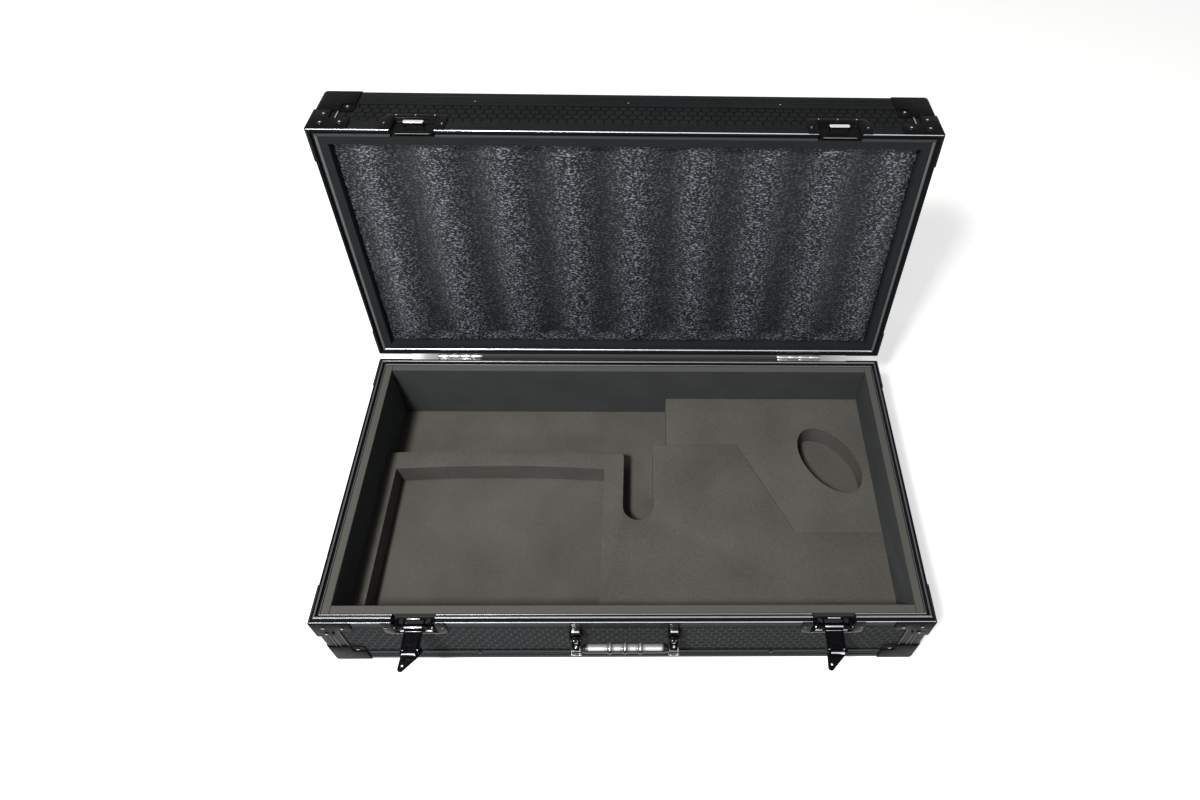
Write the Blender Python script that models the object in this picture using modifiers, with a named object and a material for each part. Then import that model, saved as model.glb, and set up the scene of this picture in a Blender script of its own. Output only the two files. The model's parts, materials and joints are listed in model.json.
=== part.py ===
"""A hard carry case: foam-lined tray, hinged lid, two twist latches and a drop handle.

Metres, +Z up, +X to the right and -Y to the front. The origin is midway between the four
corner caps, on the plane that they stand on. The lid stands open against its stop.
"""
import math

import bmesh
import bpy
from mathutils import Matrix, Vector

# Overall sizes, over the corner caps
case_width = 0.900
case_depth = 0.475
tray_height = 0.150
lid_height = 0.1035
lid_open_angle = math.radians(93.4)

# Sheets, boards and clearances
cap_sheet = 0.0015
edge_sheet = 0.0015
panel_thickness = 0.006
seat_gap = 0.0003
seam_gap = 0.0004
running_gap = 0.0003
cut_overrun = 0.004
weld_distance = 0.00001

# Edge angles and corner caps
edge_leg = 0.0345
edge_round = 0.0042
round_fold_steps = 3
panel_chamfer = 0.0022
cap_leg = 0.0545
cap_chamfer = 0.0110
cap_round = 0.0060
brace_leg = 0.0580
corner_gap = 0.0004
brace_arm_share = 0.556
brace_post_share = 0.638
brace_chamfer = 0.0070
brace_round = 0.0022

# Rim extrusions, sized across from their outer face and down from the rim plane
rim_width = 0.0130
rim_leg = 0.0225
rim_inner_leg = 0.0100
rim_web = 0.0055
rim_lip = 0.0015
rim_valley = 0.0015
tongue_inset = 0.0050
tongue_width = 0.0028
tongue_height = 0.0035
groove_clearance = 0.0008

# Foam
lining_inset = 0.0253
lining_drop = 0.0005
floor_foam_thickness = 0.0125
block_foam_thickness = 0.0430
block_clearance = 0.0003
block_corner_round = 0.0080
block_bow = 0.0065
bow_steps = 8
pocket_bow = 0.0060
slot_width = 0.0514
slot_steps = 12
seam_round = 0.0060
oval_long_radius = 0.0714
oval_short_radius = 0.0447
oval_turn = math.radians(-58.1)
oval_steps = 32
pad_recess = 0.0050
wave_depth = 0.0100
wave_pitch = 0.0967
wave_shift = 0.0110
wave_steps = 10

# Places in the foam, as shares of the interior's width from the left and depth from the front
block_back_share = 0.7223
pocket_left_share = 0.0232
pocket_right_share = 0.4498
pocket_front_share = 0.0523
pocket_back_share = 0.6463
slot_left_share = 0.4892
slot_front_share = 0.4180
middle_back_share = 0.7631
seam_right_share = 0.7265
seam_foot_right_share = 0.8283
seam_foot_back_share = 0.3640
corner_block_left_share = 0.5778
oval_right_share = 0.9186
oval_back_share = 0.6927

# Hinges
hinge_share = 0.34
hinge_width = 0.0780
hinge_knuckles = 4
hinge_back = 0.0046
hinge_up = 0.0016
knuckle_radius = 0.0040
hinge_pin_radius = 0.0020
hinge_pin_head = 0.0030
hinge_pin_head_length = 0.0012
leaf_height = 0.0290
leaf_start = 0.0021
knuckle_arm_top = 0.0016
knuckle_arm_low = 0.0034
knuckle_arm_end = 0.0012
knuckle_side_gap = 0.0004

# Latch dishes and keepers
latch_share = 0.335
dish_sheet = 0.0012
dish_width = 0.0910
dish_drop = 0.0385
dish_round = 0.0110
dish_round_steps = 4
tub_width = 0.0600
tub_drop = 0.0315
notch_clearance = 0.0005
lug_x = 0.0245
lug_width = 0.0030
lug_radius = 0.0036
latch_pin_radius = 0.0020
latch_pin_overhang = 0.0012
pivot_drop = 0.0100
pivot_out = 0.0010

# Latch arm, key and claw, measured from the arm's pivot
arm_width = 0.0300
arm_sheet = 0.0015
arm_length = 0.0380
arm_drop = 0.0050
arm_wall = 0.0034
arm_heel = 0.0015
barrel_radius = 0.0040
barrel_width = 0.0260
key_reach = 0.0260
spindle_radius = 0.0055
key_hub_radius = 0.0075
key_blade_drop = 0.0090
key_blade_thickness = 0.0025
key_head_radius = 0.0130
key_tip_radius = 0.0045
key_tip_reach = 0.0290
key_hole_radius = 0.0022
key_rest_angle = math.radians(20)
crank_radius = 0.0030
crank_pin_radius = 0.0022
crank_pin_height = 0.0023
crank_slot_play = 0.0011
claw_width = 0.0190
claw_thickness = 0.0020
claw_start = 0.0140
claw_reach = 0.0380
claw_lip = 0.0020
claw_lip_height = 0.0062
catch_gap = 0.0003
strike_width = 0.0290
strike_sheet = 0.0015
strike_length = 0.0130
strike_leg = 0.0015

# Handle
bracket_x = 0.0715
bracket_width = 0.0180
bracket_plate = 0.0020
bracket_drop = 0.0380
bracket_pivot_drop = 0.0380
bracket_pivot_out = 0.0060
ear_width = 0.0020
ear_reach = 0.0045
hood_thickness = 0.0020
hood_reach = 0.0075
handle_pin_radius = 0.0025
link_eye_radius = 0.0042
link_stem_width = 0.0085
link_stem_thickness = 0.0035
stirrup_width = 0.0156
stirrup_wall = 0.0018
stirrup_depth = 0.0150
stirrup_height = 0.0170
grip_drop = 0.0220
grip_out = 0.0080
grip_radius = 0.0065
grip_end_radius = 0.0052
grip_end_length = 0.0060
ridge_radius = 0.0078
ridge_width = 0.0035
ridge_pitch = 0.0235
ridge_count = 3
spigot_radius = 0.0030
spigot_length = 0.0035

# Rivets
rivet_radius = 0.0047
rivet_height = 0.0012
rivet_sink = 0.0006
rivet_top_share = 0.7
rivet_sides = 10
cap_rivet_inset = 0.0125

# Places of rivets, as shares of each plate's length and drop
brace_rivet_shares = [(0.328, 0.28), (0.793, 0.31), (0.328, 0.73)]
leaf_rivet_shares = [(side * 0.37, down) for side in (-1, 1) for down in (0.32, 0.75)]
dish_rivet_shares = [(-0.445, 0.364), (0.445, 0.364), (-0.302, 0.909), (0, 0.909), (0.302, 0.909)]

# Fineness of the round shapes
round_steps = 20
small_round_steps = 14
corner_steps = 4
smooth_angle = math.radians(35)

# Levels and faces that several pieces share
edge_face = cap_sheet + seat_gap
panel_face = edge_face + edge_sheet + seat_gap
panel_back = panel_face + panel_thickness
lining_face = edge_face + lining_inset
brace_drop = lid_height - cap_leg - corner_gap
hinge_x = case_width * hinge_share
latch_x = case_width * latch_share
interior_half_x = case_width / 2 - lining_face
interior_half_y = case_depth / 2 - lining_face
hinge_axis = Vector((0, case_depth / 2 + hinge_back, tray_height + hinge_up))
latch_pivot = Vector((0, -case_depth / 2 - pivot_out, tray_height - pivot_drop))
claw_travel = crank_radius * (1 + math.cos(key_rest_angle))


def finish(name, color, roughness, metallic=0.0):
    """A plain material with the colour and gloss of one piece."""
    material = bpy.data.materials.new(name)
    material.use_nodes = True
    shader = material.node_tree.nodes["Principled BSDF"]
    shader.inputs["Base Color"].default_value = (*color, 1)
    shader.inputs["Roughness"].default_value = roughness
    shader.inputs["Metallic"].default_value = metallic
    return material


def add_block(bm, low, high):
    """A box between two corners."""
    low, high = Vector(low), Vector(high)
    size = high - low
    place = Matrix.Translation((low + high) / 2) @ Matrix.Diagonal((*size, 1))
    return bmesh.ops.create_cube(bm, size=1, matrix=place)["verts"]


def add_rod(bm, axis, start, end, radius, sides, tip_radius=None):
    """A round bar or cone between two points that lie along one axis."""
    start, end = Vector(start), Vector(end)
    turn = {"X": Matrix.Rotation(math.pi / 2, 4, "Y"), "Y": Matrix.Rotation(-math.pi / 2, 4, "X"),
            "Z": Matrix.Identity(4)}[axis]
    tip = radius if tip_radius is None else tip_radius
    place = Matrix.Translation((start + end) / 2) @ turn
    depth = (end - start).length
    return bmesh.ops.create_cone(bm, cap_ends=True, segments=sides, radius1=radius, radius2=tip,
                                 depth=depth, matrix=place)["verts"]


def new_object(name, bm, material=None):
    """A mesh object in the part's collection from a finished bmesh."""
    mesh = bpy.data.meshes.new(name)
    bm.to_mesh(mesh)
    bm.free()
    obj = bpy.data.objects.new(name, mesh)
    parts.objects.link(obj)
    if material:
        mesh.materials.append(material)
    return obj


def bake(obj):
    """Replace an object's mesh by what its modifiers make of it."""
    bpy.context.view_layer.update()
    view = bpy.context.evaluated_depsgraph_get()
    mesh = bpy.data.meshes.new_from_object(obj.evaluated_get(view))
    obj.modifiers.clear()
    obj.data = mesh


def combine(obj, bm, operation):
    """Join a shape to an object, or cut it out of the object."""
    tool = new_object("tool", bm)
    step = obj.modifiers.new(operation, "BOOLEAN")
    step.operation = operation
    step.object = tool
    bake(obj)
    bpy.data.objects.remove(tool)


def thicken(obj, thickness, offset=-1):
    """Give an open surface its sheet thickness, inward from its outer side."""
    step = obj.modifiers.new("sheet", "SOLIDIFY")
    step.solidify_mode = "NON_MANIFOLD"
    step.nonmanifold_thickness_mode = "CONSTRAINTS"
    step.thickness = thickness
    step.offset = offset
    bake(obj)


def smooth(obj):
    """Shade the round stretches smooth and keep the edges sharp."""
    obj.data.shade_smooth()
    obj.data.set_sharp_from_angle(angle=smooth_angle)


def split(bm, point, normal):
    """Divide every face that a plane passes through."""
    geometry = bm.verts[:] + bm.edges[:] + bm.faces[:]
    bmesh.ops.bisect_plane(bm, geom=geometry, plane_co=point, plane_no=normal)


def drop_faces(bm, unwanted):
    """Delete the faces whose centre passes the test."""
    faces = [face for face in bm.faces if unwanted(face.calc_center_median())]
    bmesh.ops.delete(bm, geom=faces, context="FACES")


def arc(centre, radius, start, end, steps):
    """Points along an arc, both ends included."""
    angles = [start + (end - start) * step / steps for step in range(steps + 1)]
    return [(centre[0] + radius * math.cos(a), centre[1] + radius * math.sin(a)) for a in angles]


def round_corner(before, corner, after, radius):
    """Points of the arc that rounds one corner of an outline."""
    before, corner, after = Vector(before), Vector(corner), Vector(after)
    into, out = (before - corner).normalized(), (after - corner).normalized()
    half = into.angle(out) / 2
    reach = radius / math.tan(half)
    centre = corner + (into + out).normalized() * (radius / math.sin(half))
    first, last = corner + into * reach - centre, corner + out * reach - centre
    sweep = first.angle_signed(last)
    return [tuple(centre + Matrix.Rotation(-sweep * step / corner_steps, 2) @ first)
            for step in range(corner_steps + 1)]


def outline_mesh(loops, thickness):
    """A flat outline with any holes, extruded upward from z = 0."""
    curve = bpy.data.curves.new("outline", "CURVE")
    curve.dimensions = "2D"
    curve.fill_mode = "BOTH"
    curve.extrude = thickness / 2
    for loop in loops:
        spline = curve.splines.new("POLY")
        spline.points.add(len(loop) - 1)
        for point, place in zip(spline.points, loop):
            point.co = (place[0], place[1], 0, 1)
        spline.use_cyclic_u = True
    holder = bpy.data.objects.new("outline", curve)
    parts.objects.link(holder)
    bpy.context.view_layer.update()
    view = bpy.context.evaluated_depsgraph_get()
    mesh = bpy.data.meshes.new_from_object(holder.evaluated_get(view))
    bm = bmesh.new()
    bm.from_mesh(mesh)
    bmesh.ops.remove_doubles(bm, verts=bm.verts[:], dist=weld_distance)
    bmesh.ops.translate(bm, verts=bm.verts[:], vec=(0, 0, thickness / 2))
    bpy.data.objects.remove(holder)
    bpy.data.meshes.remove(mesh)
    return bm


def stand(bm, axis):
    """Turn an extruded outline so that its thickness runs along X or Y, its height along Z."""
    turn = {"Y": Matrix.Rotation(math.pi / 2, 4, "X"),
            "X": Matrix(((0, 0, 1, 0), (1, 0, 0, 0), (0, 1, 0, 0), (0, 0, 0, 1)))}[axis]
    bmesh.ops.transform(bm, matrix=turn, verts=bm.verts[:])
    return bm


def move(bm, place):
    """Shift everything in a bmesh."""
    bmesh.ops.translate(bm, verts=bm.verts[:], vec=place)
    return bm


def ring_mesh(profile, half_x, half_y):
    """A mitred frame: a profile of (inset, height) turned in four steps, then pulled to length."""
    bm = bmesh.new()
    reach = max(inset for inset, height in profile) + half_y / 2
    corners = [bm.verts.new((reach - inset, reach - inset, height)) for inset, height in profile]
    edges = [bm.edges.new((corners[i - 1], corners[i])) for i in range(len(corners))]
    bmesh.ops.spin(bm, geom=corners + edges, axis=(0, 0, 1), cent=(0, 0, 0), steps=4,
                   angle=2 * math.pi, use_duplicate=False)
    bmesh.ops.remove_doubles(bm, verts=bm.verts[:], dist=weld_distance)
    for vert in bm.verts:
        vert.co.x += math.copysign(half_x - reach, vert.co.x)
        vert.co.y += math.copysign(half_y - reach, vert.co.y)
    bmesh.ops.recalc_face_normals(bm, faces=bm.faces[:])
    return bm


def place_in_tray(obj, location=(0, 0, 0), turn=(0, 0, 0)):
    """Put a piece that is modelled from its half's base plane into the tray."""
    obj.rotation_euler = turn
    obj.location = location


def place_in_lid(obj, location=(0, 0, 0), turn=0.0):
    """Put a piece that is modelled from its half's base plane into the lid, upside down."""
    flip = Matrix.Rotation(math.pi, 4, "X")
    closed = Matrix.Translation((0, 0, tray_height + seam_gap + lid_height)) @ flip
    local = Matrix.Translation(location) @ Matrix.Rotation(turn, 4, "Z")
    obj.parent = lid_axis
    obj.matrix_local = Matrix.Translation(-hinge_axis) @ closed @ local


def hang_on_lid(obj, closed_place, turn_y=0.0):
    """Put a piece that is modelled in the closed case's directions onto the lid."""
    place = Matrix.Translation(Vector(closed_place) - hinge_axis)
    obj.parent = lid_axis
    obj.matrix_local = place @ Matrix.Rotation(turn_y, 4, "Y")


def rivets(places, axis, face):
    """Low round heads standing out of one face towards the negative side of an axis."""
    bm = bmesh.new()
    for first, second in places:
        if axis == "Y":
            low, high = (first, face + rivet_sink, second), (first, face - rivet_height, second)
        else:
            low, high = (face + rivet_sink, first, second), (face - rivet_height, first, second)
        add_rod(bm, axis, high, low, rivet_radius * rivet_top_share, rivet_sides, rivet_radius)
    return bm


def chamfer_outside(bm, half_x, half_y):
    """Break the edges of a wall board where two outer faces meet, under the edge angles."""
    sides = (lambda c: abs(c.x) > half_x - seat_gap, lambda c: abs(c.y) > half_y - seat_gap,
             lambda c: c.z < panel_face + seat_gap)
    edges = [e for e in bm.edges if sum(all(side(v.co) for v in e.verts) for side in sides) > 1]
    bmesh.ops.bevel(bm, geom=edges, offset=panel_chamfer, segments=1, profile=0.5, affect="EDGES")


def build_panels(half, height, front_sign, place):
    """The base board and the four wall boards of one half of the case."""
    wall_top = height - rim_web - seat_gap
    half_x = case_width / 2 - panel_face
    half_y = case_depth / 2 - panel_face
    inner_x = half_x - panel_thickness - seat_gap
    inner_y = half_y - panel_thickness - seat_gap
    base = bmesh.new()
    add_block(base, (-inner_x, -inner_y, panel_face), (inner_x, inner_y, panel_back))
    place(new_object(f"{half}_{'bottom' if half == 'tray' else 'top'}_panel", base, panel_finish))
    for name, side in (("left", -1), ("right", 1)):
        bm = bmesh.new()
        ends = sorted((side * half_x, side * (half_x - panel_thickness)))
        add_block(bm, (ends[0], -inner_y, panel_face), (ends[1], inner_y, wall_top))
        chamfer_outside(bm, half_x, half_y)
        place(new_object(f"{half}_{name}_panel", bm, panel_finish))
    for name, side in (("front", front_sign), ("back", -front_sign)):
        bm = bmesh.new()
        ends = sorted((side * half_y, side * (half_y - panel_thickness)))
        add_block(bm, (-half_x, ends[0], panel_face), (half_x, ends[1], wall_top))
        chamfer_outside(bm, half_x, half_y)
        panel = new_object(f"{half}_{name}_panel", bm, panel_finish)
        if name == "front":
            combine(panel, dish_notches(height, side * half_y, side), "DIFFERENCE")
        place(panel)


def dish_notches(height, face_y, side):
    """The two openings that the latch dishes need in the front wall and the front rim."""
    bm = bmesh.new()
    half = tub_width / 2 + dish_sheet + notch_clearance
    bottom = height - tub_drop - dish_sheet - notch_clearance
    depth = panel_back - edge_face + notch_clearance
    ends = sorted((face_y + side * cut_overrun, side * (case_depth / 2 - edge_face - depth)))
    for centre in (-latch_x, latch_x):
        add_block(bm, (centre - half, ends[0], bottom),
                  (centre + half, ends[1], height + tongue_height + cut_overrun))
    return bm


def build_edge_frame(half, height, place):
    """The base edge and corner post angles: a rounded box shell with its faces cut away."""
    half_x = case_width / 2 - edge_face
    half_y = case_depth / 2 - edge_face
    top = height - rim_leg - seat_gap
    window_x, window_y, window_z = half_x - edge_leg, half_y - edge_leg, edge_face + edge_leg
    bm = bmesh.new()
    add_block(bm, (-half_x, -half_y, edge_face), (half_x, half_y, top))
    drop_faces(bm, lambda c: c.z > top - seat_gap)
    folds = [e for e in bm.edges if not e.is_boundary]
    bmesh.ops.bevel(bm, geom=folds, offset=edge_round, segments=round_fold_steps, profile=0.5,
                    affect="EDGES")
    for side in (-1, 1):
        split(bm, (side * window_x, 0, 0), (1, 0, 0))
        split(bm, (0, side * window_y, 0), (0, 1, 0))
    split(bm, (0, 0, window_z), (0, 0, 1))
    drop_faces(bm, lambda c: abs(c.x) < window_x and (c.z > window_z or abs(c.y) < window_y))
    drop_faces(bm, lambda c: abs(c.y) < window_y and c.z > window_z)
    frame = new_object(f"{half}_edge_frame", bm, edge_finish)
    thicken(frame, edge_sheet)
    smooth(frame)
    place(frame)


def tray_rim_profile():
    """Section of the tray's rim: a channel over the boards with a tongue on top."""
    leg_start = panel_back - edge_face + seat_gap
    return [(0, -rim_leg), (0, 0), (rim_lip, 0), (rim_lip, -rim_valley), (tongue_inset, -rim_valley),
            (tongue_inset, tongue_height), (tongue_inset + tongue_width, tongue_height),
            (tongue_inset + tongue_width, -rim_valley), (rim_width - rim_lip, -rim_valley),
            (rim_width - rim_lip, 0), (rim_width, 0), (rim_width, -rim_inner_leg),
            (leg_start, -rim_inner_leg), (leg_start, -rim_web), (edge_sheet, -rim_web),
            (edge_sheet, -rim_leg)]


def lid_rim_profile():
    """Section of the lid's rim: the same channel with a groove for the tongue."""
    leg_start = panel_back - edge_face + seat_gap
    groove_start = tongue_inset - groove_clearance
    groove_end = tongue_inset + tongue_width + groove_clearance
    groove_depth = tongue_height + seat_gap
    return [(0, -rim_leg), (0, 0), (groove_start, 0), (groove_start, -groove_depth),
            (groove_end, -groove_depth), (groove_end, 0), (rim_width, 0),
            (rim_width, -rim_inner_leg), (leg_start, -rim_inner_leg), (leg_start, -rim_web),
            (edge_sheet, -rim_web), (edge_sheet, -rim_leg)]


def build_rim(half, height, front_sign, profile, place):
    """The rim extrusion, mitred at its corners and notched for the latch dishes."""
    half_x = case_width / 2 - edge_face
    half_y = case_depth / 2 - edge_face
    bm = ring_mesh([(inset, height + level) for inset, level in profile], half_x, half_y)
    rim = new_object(f"{half}_rim", bm, rim_finish)
    combine(rim, dish_notches(height, front_sign * half_y, front_sign), "DIFFERENCE")
    place(rim)


def cap_mesh():
    """A pressed corner cap at the (-X, -Y) base corner, with its rivets."""
    bm = bmesh.new()
    add_block(bm, (0, 0, 0), (cap_leg, cap_leg, cap_leg))
    drop_faces(bm, lambda c: max(c) > cap_leg - seat_gap)
    far = [v for v in bm.verts if sorted(v.co)[1] > cap_leg - seat_gap]
    bmesh.ops.bevel(bm, geom=far, offset=cap_chamfer, segments=1, profile=0.5, affect="VERTICES")
    folds = [e for e in bm.edges if not e.is_boundary]
    bmesh.ops.bevel(bm, geom=folds, offset=cap_round, segments=round_fold_steps, profile=0.5,
                    affect="EDGES")
    cap = new_object("cap", bm, steel_finish)
    thicken(cap, cap_sheet)
    spot = cap_leg - cap_rivet_inset
    for axis in ("X", "Y"):
        combine(cap, rivets([(spot, spot)], axis, 0), "UNION")
    smooth(cap)
    return cap


def brace_mesh():
    """A bent plate over the rim at the (-X, -Y) corner, measured down from the rim plane."""
    bm = bmesh.new()
    add_block(bm, (0, 0, -brace_drop), (brace_leg, brace_leg, 0))
    drop_faces(bm, lambda c: max(c.x, c.y) > brace_leg - seat_gap)
    drop_faces(bm, lambda c: c.z > -seat_gap or c.z < seat_gap - brace_drop)
    post, arm = brace_leg * brace_post_share, -brace_drop * brace_arm_share
    split(bm, (post, 0, 0), (1, 0, 0))
    split(bm, (0, post, 0), (0, 1, 0))
    split(bm, (0, 0, arm), (0, 0, 1))
    drop_faces(bm, lambda c: max(c.x, c.y) > post and c.z < arm)
    ends = [v for v in bm.verts if len(v.link_edges) == 2]
    low = [v for v in ends if v.co.z < -seat_gap]
    bmesh.ops.bevel(bm, geom=low, offset=brace_chamfer, segments=1, profile=0.5, affect="VERTICES")
    folds = [e for e in bm.edges if all(v.co.xy.length < seat_gap for v in e.verts)]
    bmesh.ops.bevel(bm, geom=folds, offset=brace_round, segments=round_fold_steps, profile=0.5,
                    affect="EDGES")
    brace = new_object("brace", bm, steel_finish)
    thicken(brace, cap_sheet)
    places = [(brace_leg * along, -brace_drop * down) for along, down in brace_rivet_shares]
    for axis in ("X", "Y"):
        combine(brace, rivets(places, axis, 0), "UNION")
    smooth(brace)
    return brace


def build_corners(half, height, place):
    """Four caps at the base corners and four braces at the rim corners of one half."""
    cap, brace = cap_mesh(), brace_mesh()
    half_x, half_y = case_width / 2, case_depth / 2
    corners = (("front_left", -1, -1, 0), ("front_right", 1, -1, 1), ("back_right", 1, 1, 2),
               ("back_left", -1, 1, 3))
    for name, x_side, y_side, quarter in corners:
        if half == "lid":
            name = {"front": "back", "back": "front"}[name.split("_")[0]] + "_" + name.split("_")[1]
        turn = quarter * math.pi / 2
        for piece, label, level in ((cap, "corner_cap", 0), (brace, "corner_brace", height)):
            obj = bpy.data.objects.new(f"{half}_{label}_{name}", piece.data)
            parts.objects.link(obj)
            spot = (x_side * half_x, y_side * half_y, level)
            if half == "tray":
                place(obj, spot, (0, 0, turn))
            else:
                place(obj, spot, turn)
    bpy.data.objects.remove(cap)
    bpy.data.objects.remove(brace)


def lining_profile(height):
    """Section of a foam lining strip, rebated under the rim's inner leg."""
    outer = panel_back - edge_face + seat_gap
    inner_top = height - lining_drop
    return [(outer, panel_back + seat_gap), (lining_inset, panel_back + seat_gap),
            (lining_inset, inner_top), (rim_width + seat_gap, inner_top),
            (rim_width + seat_gap, height - rim_inner_leg - seat_gap),
            (outer, height - rim_inner_leg - seat_gap)]


def build_tray_linings():
    """Four foam strips: the side ones run the full depth, the others between them."""
    profile = lining_profile(tray_height)
    half_x, half_y = case_width / 2 - edge_face, case_depth / 2 - edge_face
    full = half_y - (panel_back - edge_face) - seat_gap
    between = half_x - lining_inset - seat_gap
    strips = (("left", full, half_x, -math.pi / 2), ("front", between, half_y, 0),
              ("right", full, half_x, math.pi / 2), ("back", between, half_y, math.pi))
    for name, half_length, reach, turn in strips:
        section = [(inset - reach, level) for inset, level in profile]
        bm = stand(outline_mesh([section], 2 * half_length), "X")
        move(bm, (-half_length, 0, 0))
        if name in ("left", "right"):
            rebate = bmesh.new()
            for end in (-1, 1):
                span = sorted((end * (full + cut_overrun), end * (half_y - rim_width - seat_gap)))
                add_block(rebate, (span[0], -reach, tray_height - rim_inner_leg - seat_gap),
                          (span[1], -reach + lining_inset + cut_overrun, tray_height + cut_overrun))
        strip = new_object(f"tray_{name}_lining", bm, lining_finish)
        if name in ("left", "right"):
            combine(strip, rebate, "DIFFERENCE")
        place_in_tray(strip, turn=(0, 0, turn))


def bowed_edge(left, right, back, bow):
    """Points of an edge that bulges backward, from the right end to the left end."""
    shares = [step / bow_steps for step in range(bow_steps + 1)]
    return [(right + (left - right) * s, back + bow * 4 * s * (1 - s)) for s in shares]


def build_tray_foam():
    """The floor sheet and the two fitted blocks above it, laid out from the front left corner."""
    width, depth = 2 * interior_half_x, 2 * interior_half_y
    gap = block_clearance
    floor_low = panel_back + seat_gap
    block_low = floor_low + floor_foam_thickness + seat_gap
    corner = Vector((-interior_half_x, -interior_half_y, 0))

    bm = bmesh.new()
    add_block(bm, (gap, gap, floor_low),
              (width - gap, depth - gap, floor_low + floor_foam_thickness))
    place_in_tray(new_object("tray_floor_foam", move(bm, corner), foam_finish))

    slot_left = width * slot_left_share
    slot_right = slot_left + slot_width
    radius = slot_width / 2
    slot_centre = (slot_left + radius, depth * slot_front_share + radius)
    block_back, middle_back = depth * block_back_share, depth * middle_back_share
    seam_right, seam_foot_right = width * seam_right_share, width * seam_foot_right_share
    seam_foot_back = depth * seam_foot_back_share
    back_edge = bowed_edge(gap, slot_left, block_back, block_bow)
    main = [(gap, gap), (width - gap, gap), (width - gap, seam_foot_back - gap),
            (seam_foot_right, seam_foot_back - gap)]
    main += round_corner(main[-1], (seam_right, middle_back), (slot_right, middle_back), seam_round)
    main += round_corner(main[-1], (slot_right, middle_back), slot_centre, block_corner_round)
    main += arc(slot_centre, radius, 0, -math.pi, slot_steps)
    main += round_corner(main[-1], back_edge[0], back_edge[1], block_corner_round)
    main += back_edge[2:]
    pocket_left, pocket_right = width * pocket_left_share, width * pocket_right_share
    pocket_front, pocket_back = depth * pocket_front_share, depth * pocket_back_share
    pocket = [(pocket_left, pocket_front), (pocket_right, pocket_front)]
    pocket += bowed_edge(pocket_left, pocket_right, pocket_back, pocket_bow)
    bm = move(outline_mesh([main, pocket], block_foam_thickness), corner + Vector((0, 0, block_low)))
    place_in_tray(new_object("tray_main_foam", bm, foam_finish))

    slope = (Vector((seam_right, middle_back)) - Vector((seam_foot_right, seam_foot_back))).normalized()
    step = Vector((-slope.y, slope.x)) * -gap
    block_left = width * corner_block_left_share
    corner_block = [(block_left, middle_back + gap), (seam_right + 2 * gap, middle_back + gap),
                    (seam_foot_right + step.x + gap, seam_foot_back), (width - gap, seam_foot_back),
                    (width - gap, depth - gap), (block_left, depth - gap)]
    turn = Matrix.Rotation(oval_turn, 2)
    oval_centre = Vector((width * oval_right_share, depth * oval_back_share))
    circle = arc((0, 0), 1, 0, 2 * math.pi, oval_steps)[:-1]
    oval = [oval_centre + turn @ Vector((oval_long_radius * x, oval_short_radius * y)) for x, y in circle]
    bm = move(outline_mesh([corner_block, oval], block_foam_thickness),
              corner + Vector((0, 0, block_low)))
    place_in_tray(new_object("tray_corner_foam", bm, foam_finish))


def build_lid_foam():
    """The lid's foam ring and the wave foam pad inside it."""
    half_x, half_y = case_width / 2 - edge_face, case_depth / 2 - edge_face
    ring = ring_mesh(lining_profile(lid_height), half_x, half_y)
    place_in_lid(new_object("lid_lining", ring, lining_finish))

    half_x, half_y = interior_half_x - seat_gap, interior_half_y - seat_gap
    low, crest = panel_back + seat_gap, lid_height - pad_recess
    count = round(2 * half_x / wave_pitch * wave_steps)
    section = [(-half_x, low), (half_x, low)]
    for step in range(count + 1):
        x = half_x - 2 * half_x * step / count
        rise = math.cos(2 * math.pi * (x - wave_shift) / wave_pitch) / 2
        section.append((x, crest + wave_depth * (rise - 1 / 2)))
    bm = move(stand(outline_mesh([section], 2 * half_y), "Y"), (0, half_y, 0))
    place_in_lid(new_object("lid_wave_foam", bm, wave_finish))


def leaf_mesh():
    """A hinge leaf seen from its pin: a plate on the back wall and every second knuckle."""
    half = hinge_width / 2
    pitch = hinge_width / hinge_knuckles
    bm = bmesh.new()
    add_block(bm, (-half, -hinge_back - cap_sheet, -leaf_start - leaf_height),
              (half, -hinge_back, -leaf_start))
    leaf = new_object("leaf", bm, hinge_finish)
    knuckles, bores, arms = bmesh.new(), bmesh.new(), bmesh.new()
    for slot in range(0, hinge_knuckles, 2):
        left = -half + slot * pitch + knuckle_side_gap / 2
        right = left + pitch - knuckle_side_gap
        add_block(arms, (left, -hinge_back - cap_sheet / 2, -knuckle_arm_low),
                  (right, -knuckle_arm_end, -knuckle_arm_top))
        add_rod(knuckles, "X", (left, 0, 0), (right, 0, 0), knuckle_radius, round_steps)
    add_rod(bores, "X", (-half - cut_overrun, 0, 0), (half + cut_overrun, 0, 0),
            hinge_pin_radius + running_gap, small_round_steps)
    combine(leaf, arms, "UNION")
    combine(leaf, knuckles, "UNION")
    combine(leaf, bores, "DIFFERENCE")
    places = [(hinge_width * along, -leaf_start - leaf_height * down)
              for along, down in leaf_rivet_shares]
    heads = rivets(places, "Y", hinge_back)
    bmesh.ops.transform(heads, matrix=Matrix.Rotation(math.pi, 4, "Z"), verts=heads.verts[:])
    combine(leaf, heads, "UNION")
    smooth(leaf)
    return leaf


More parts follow.
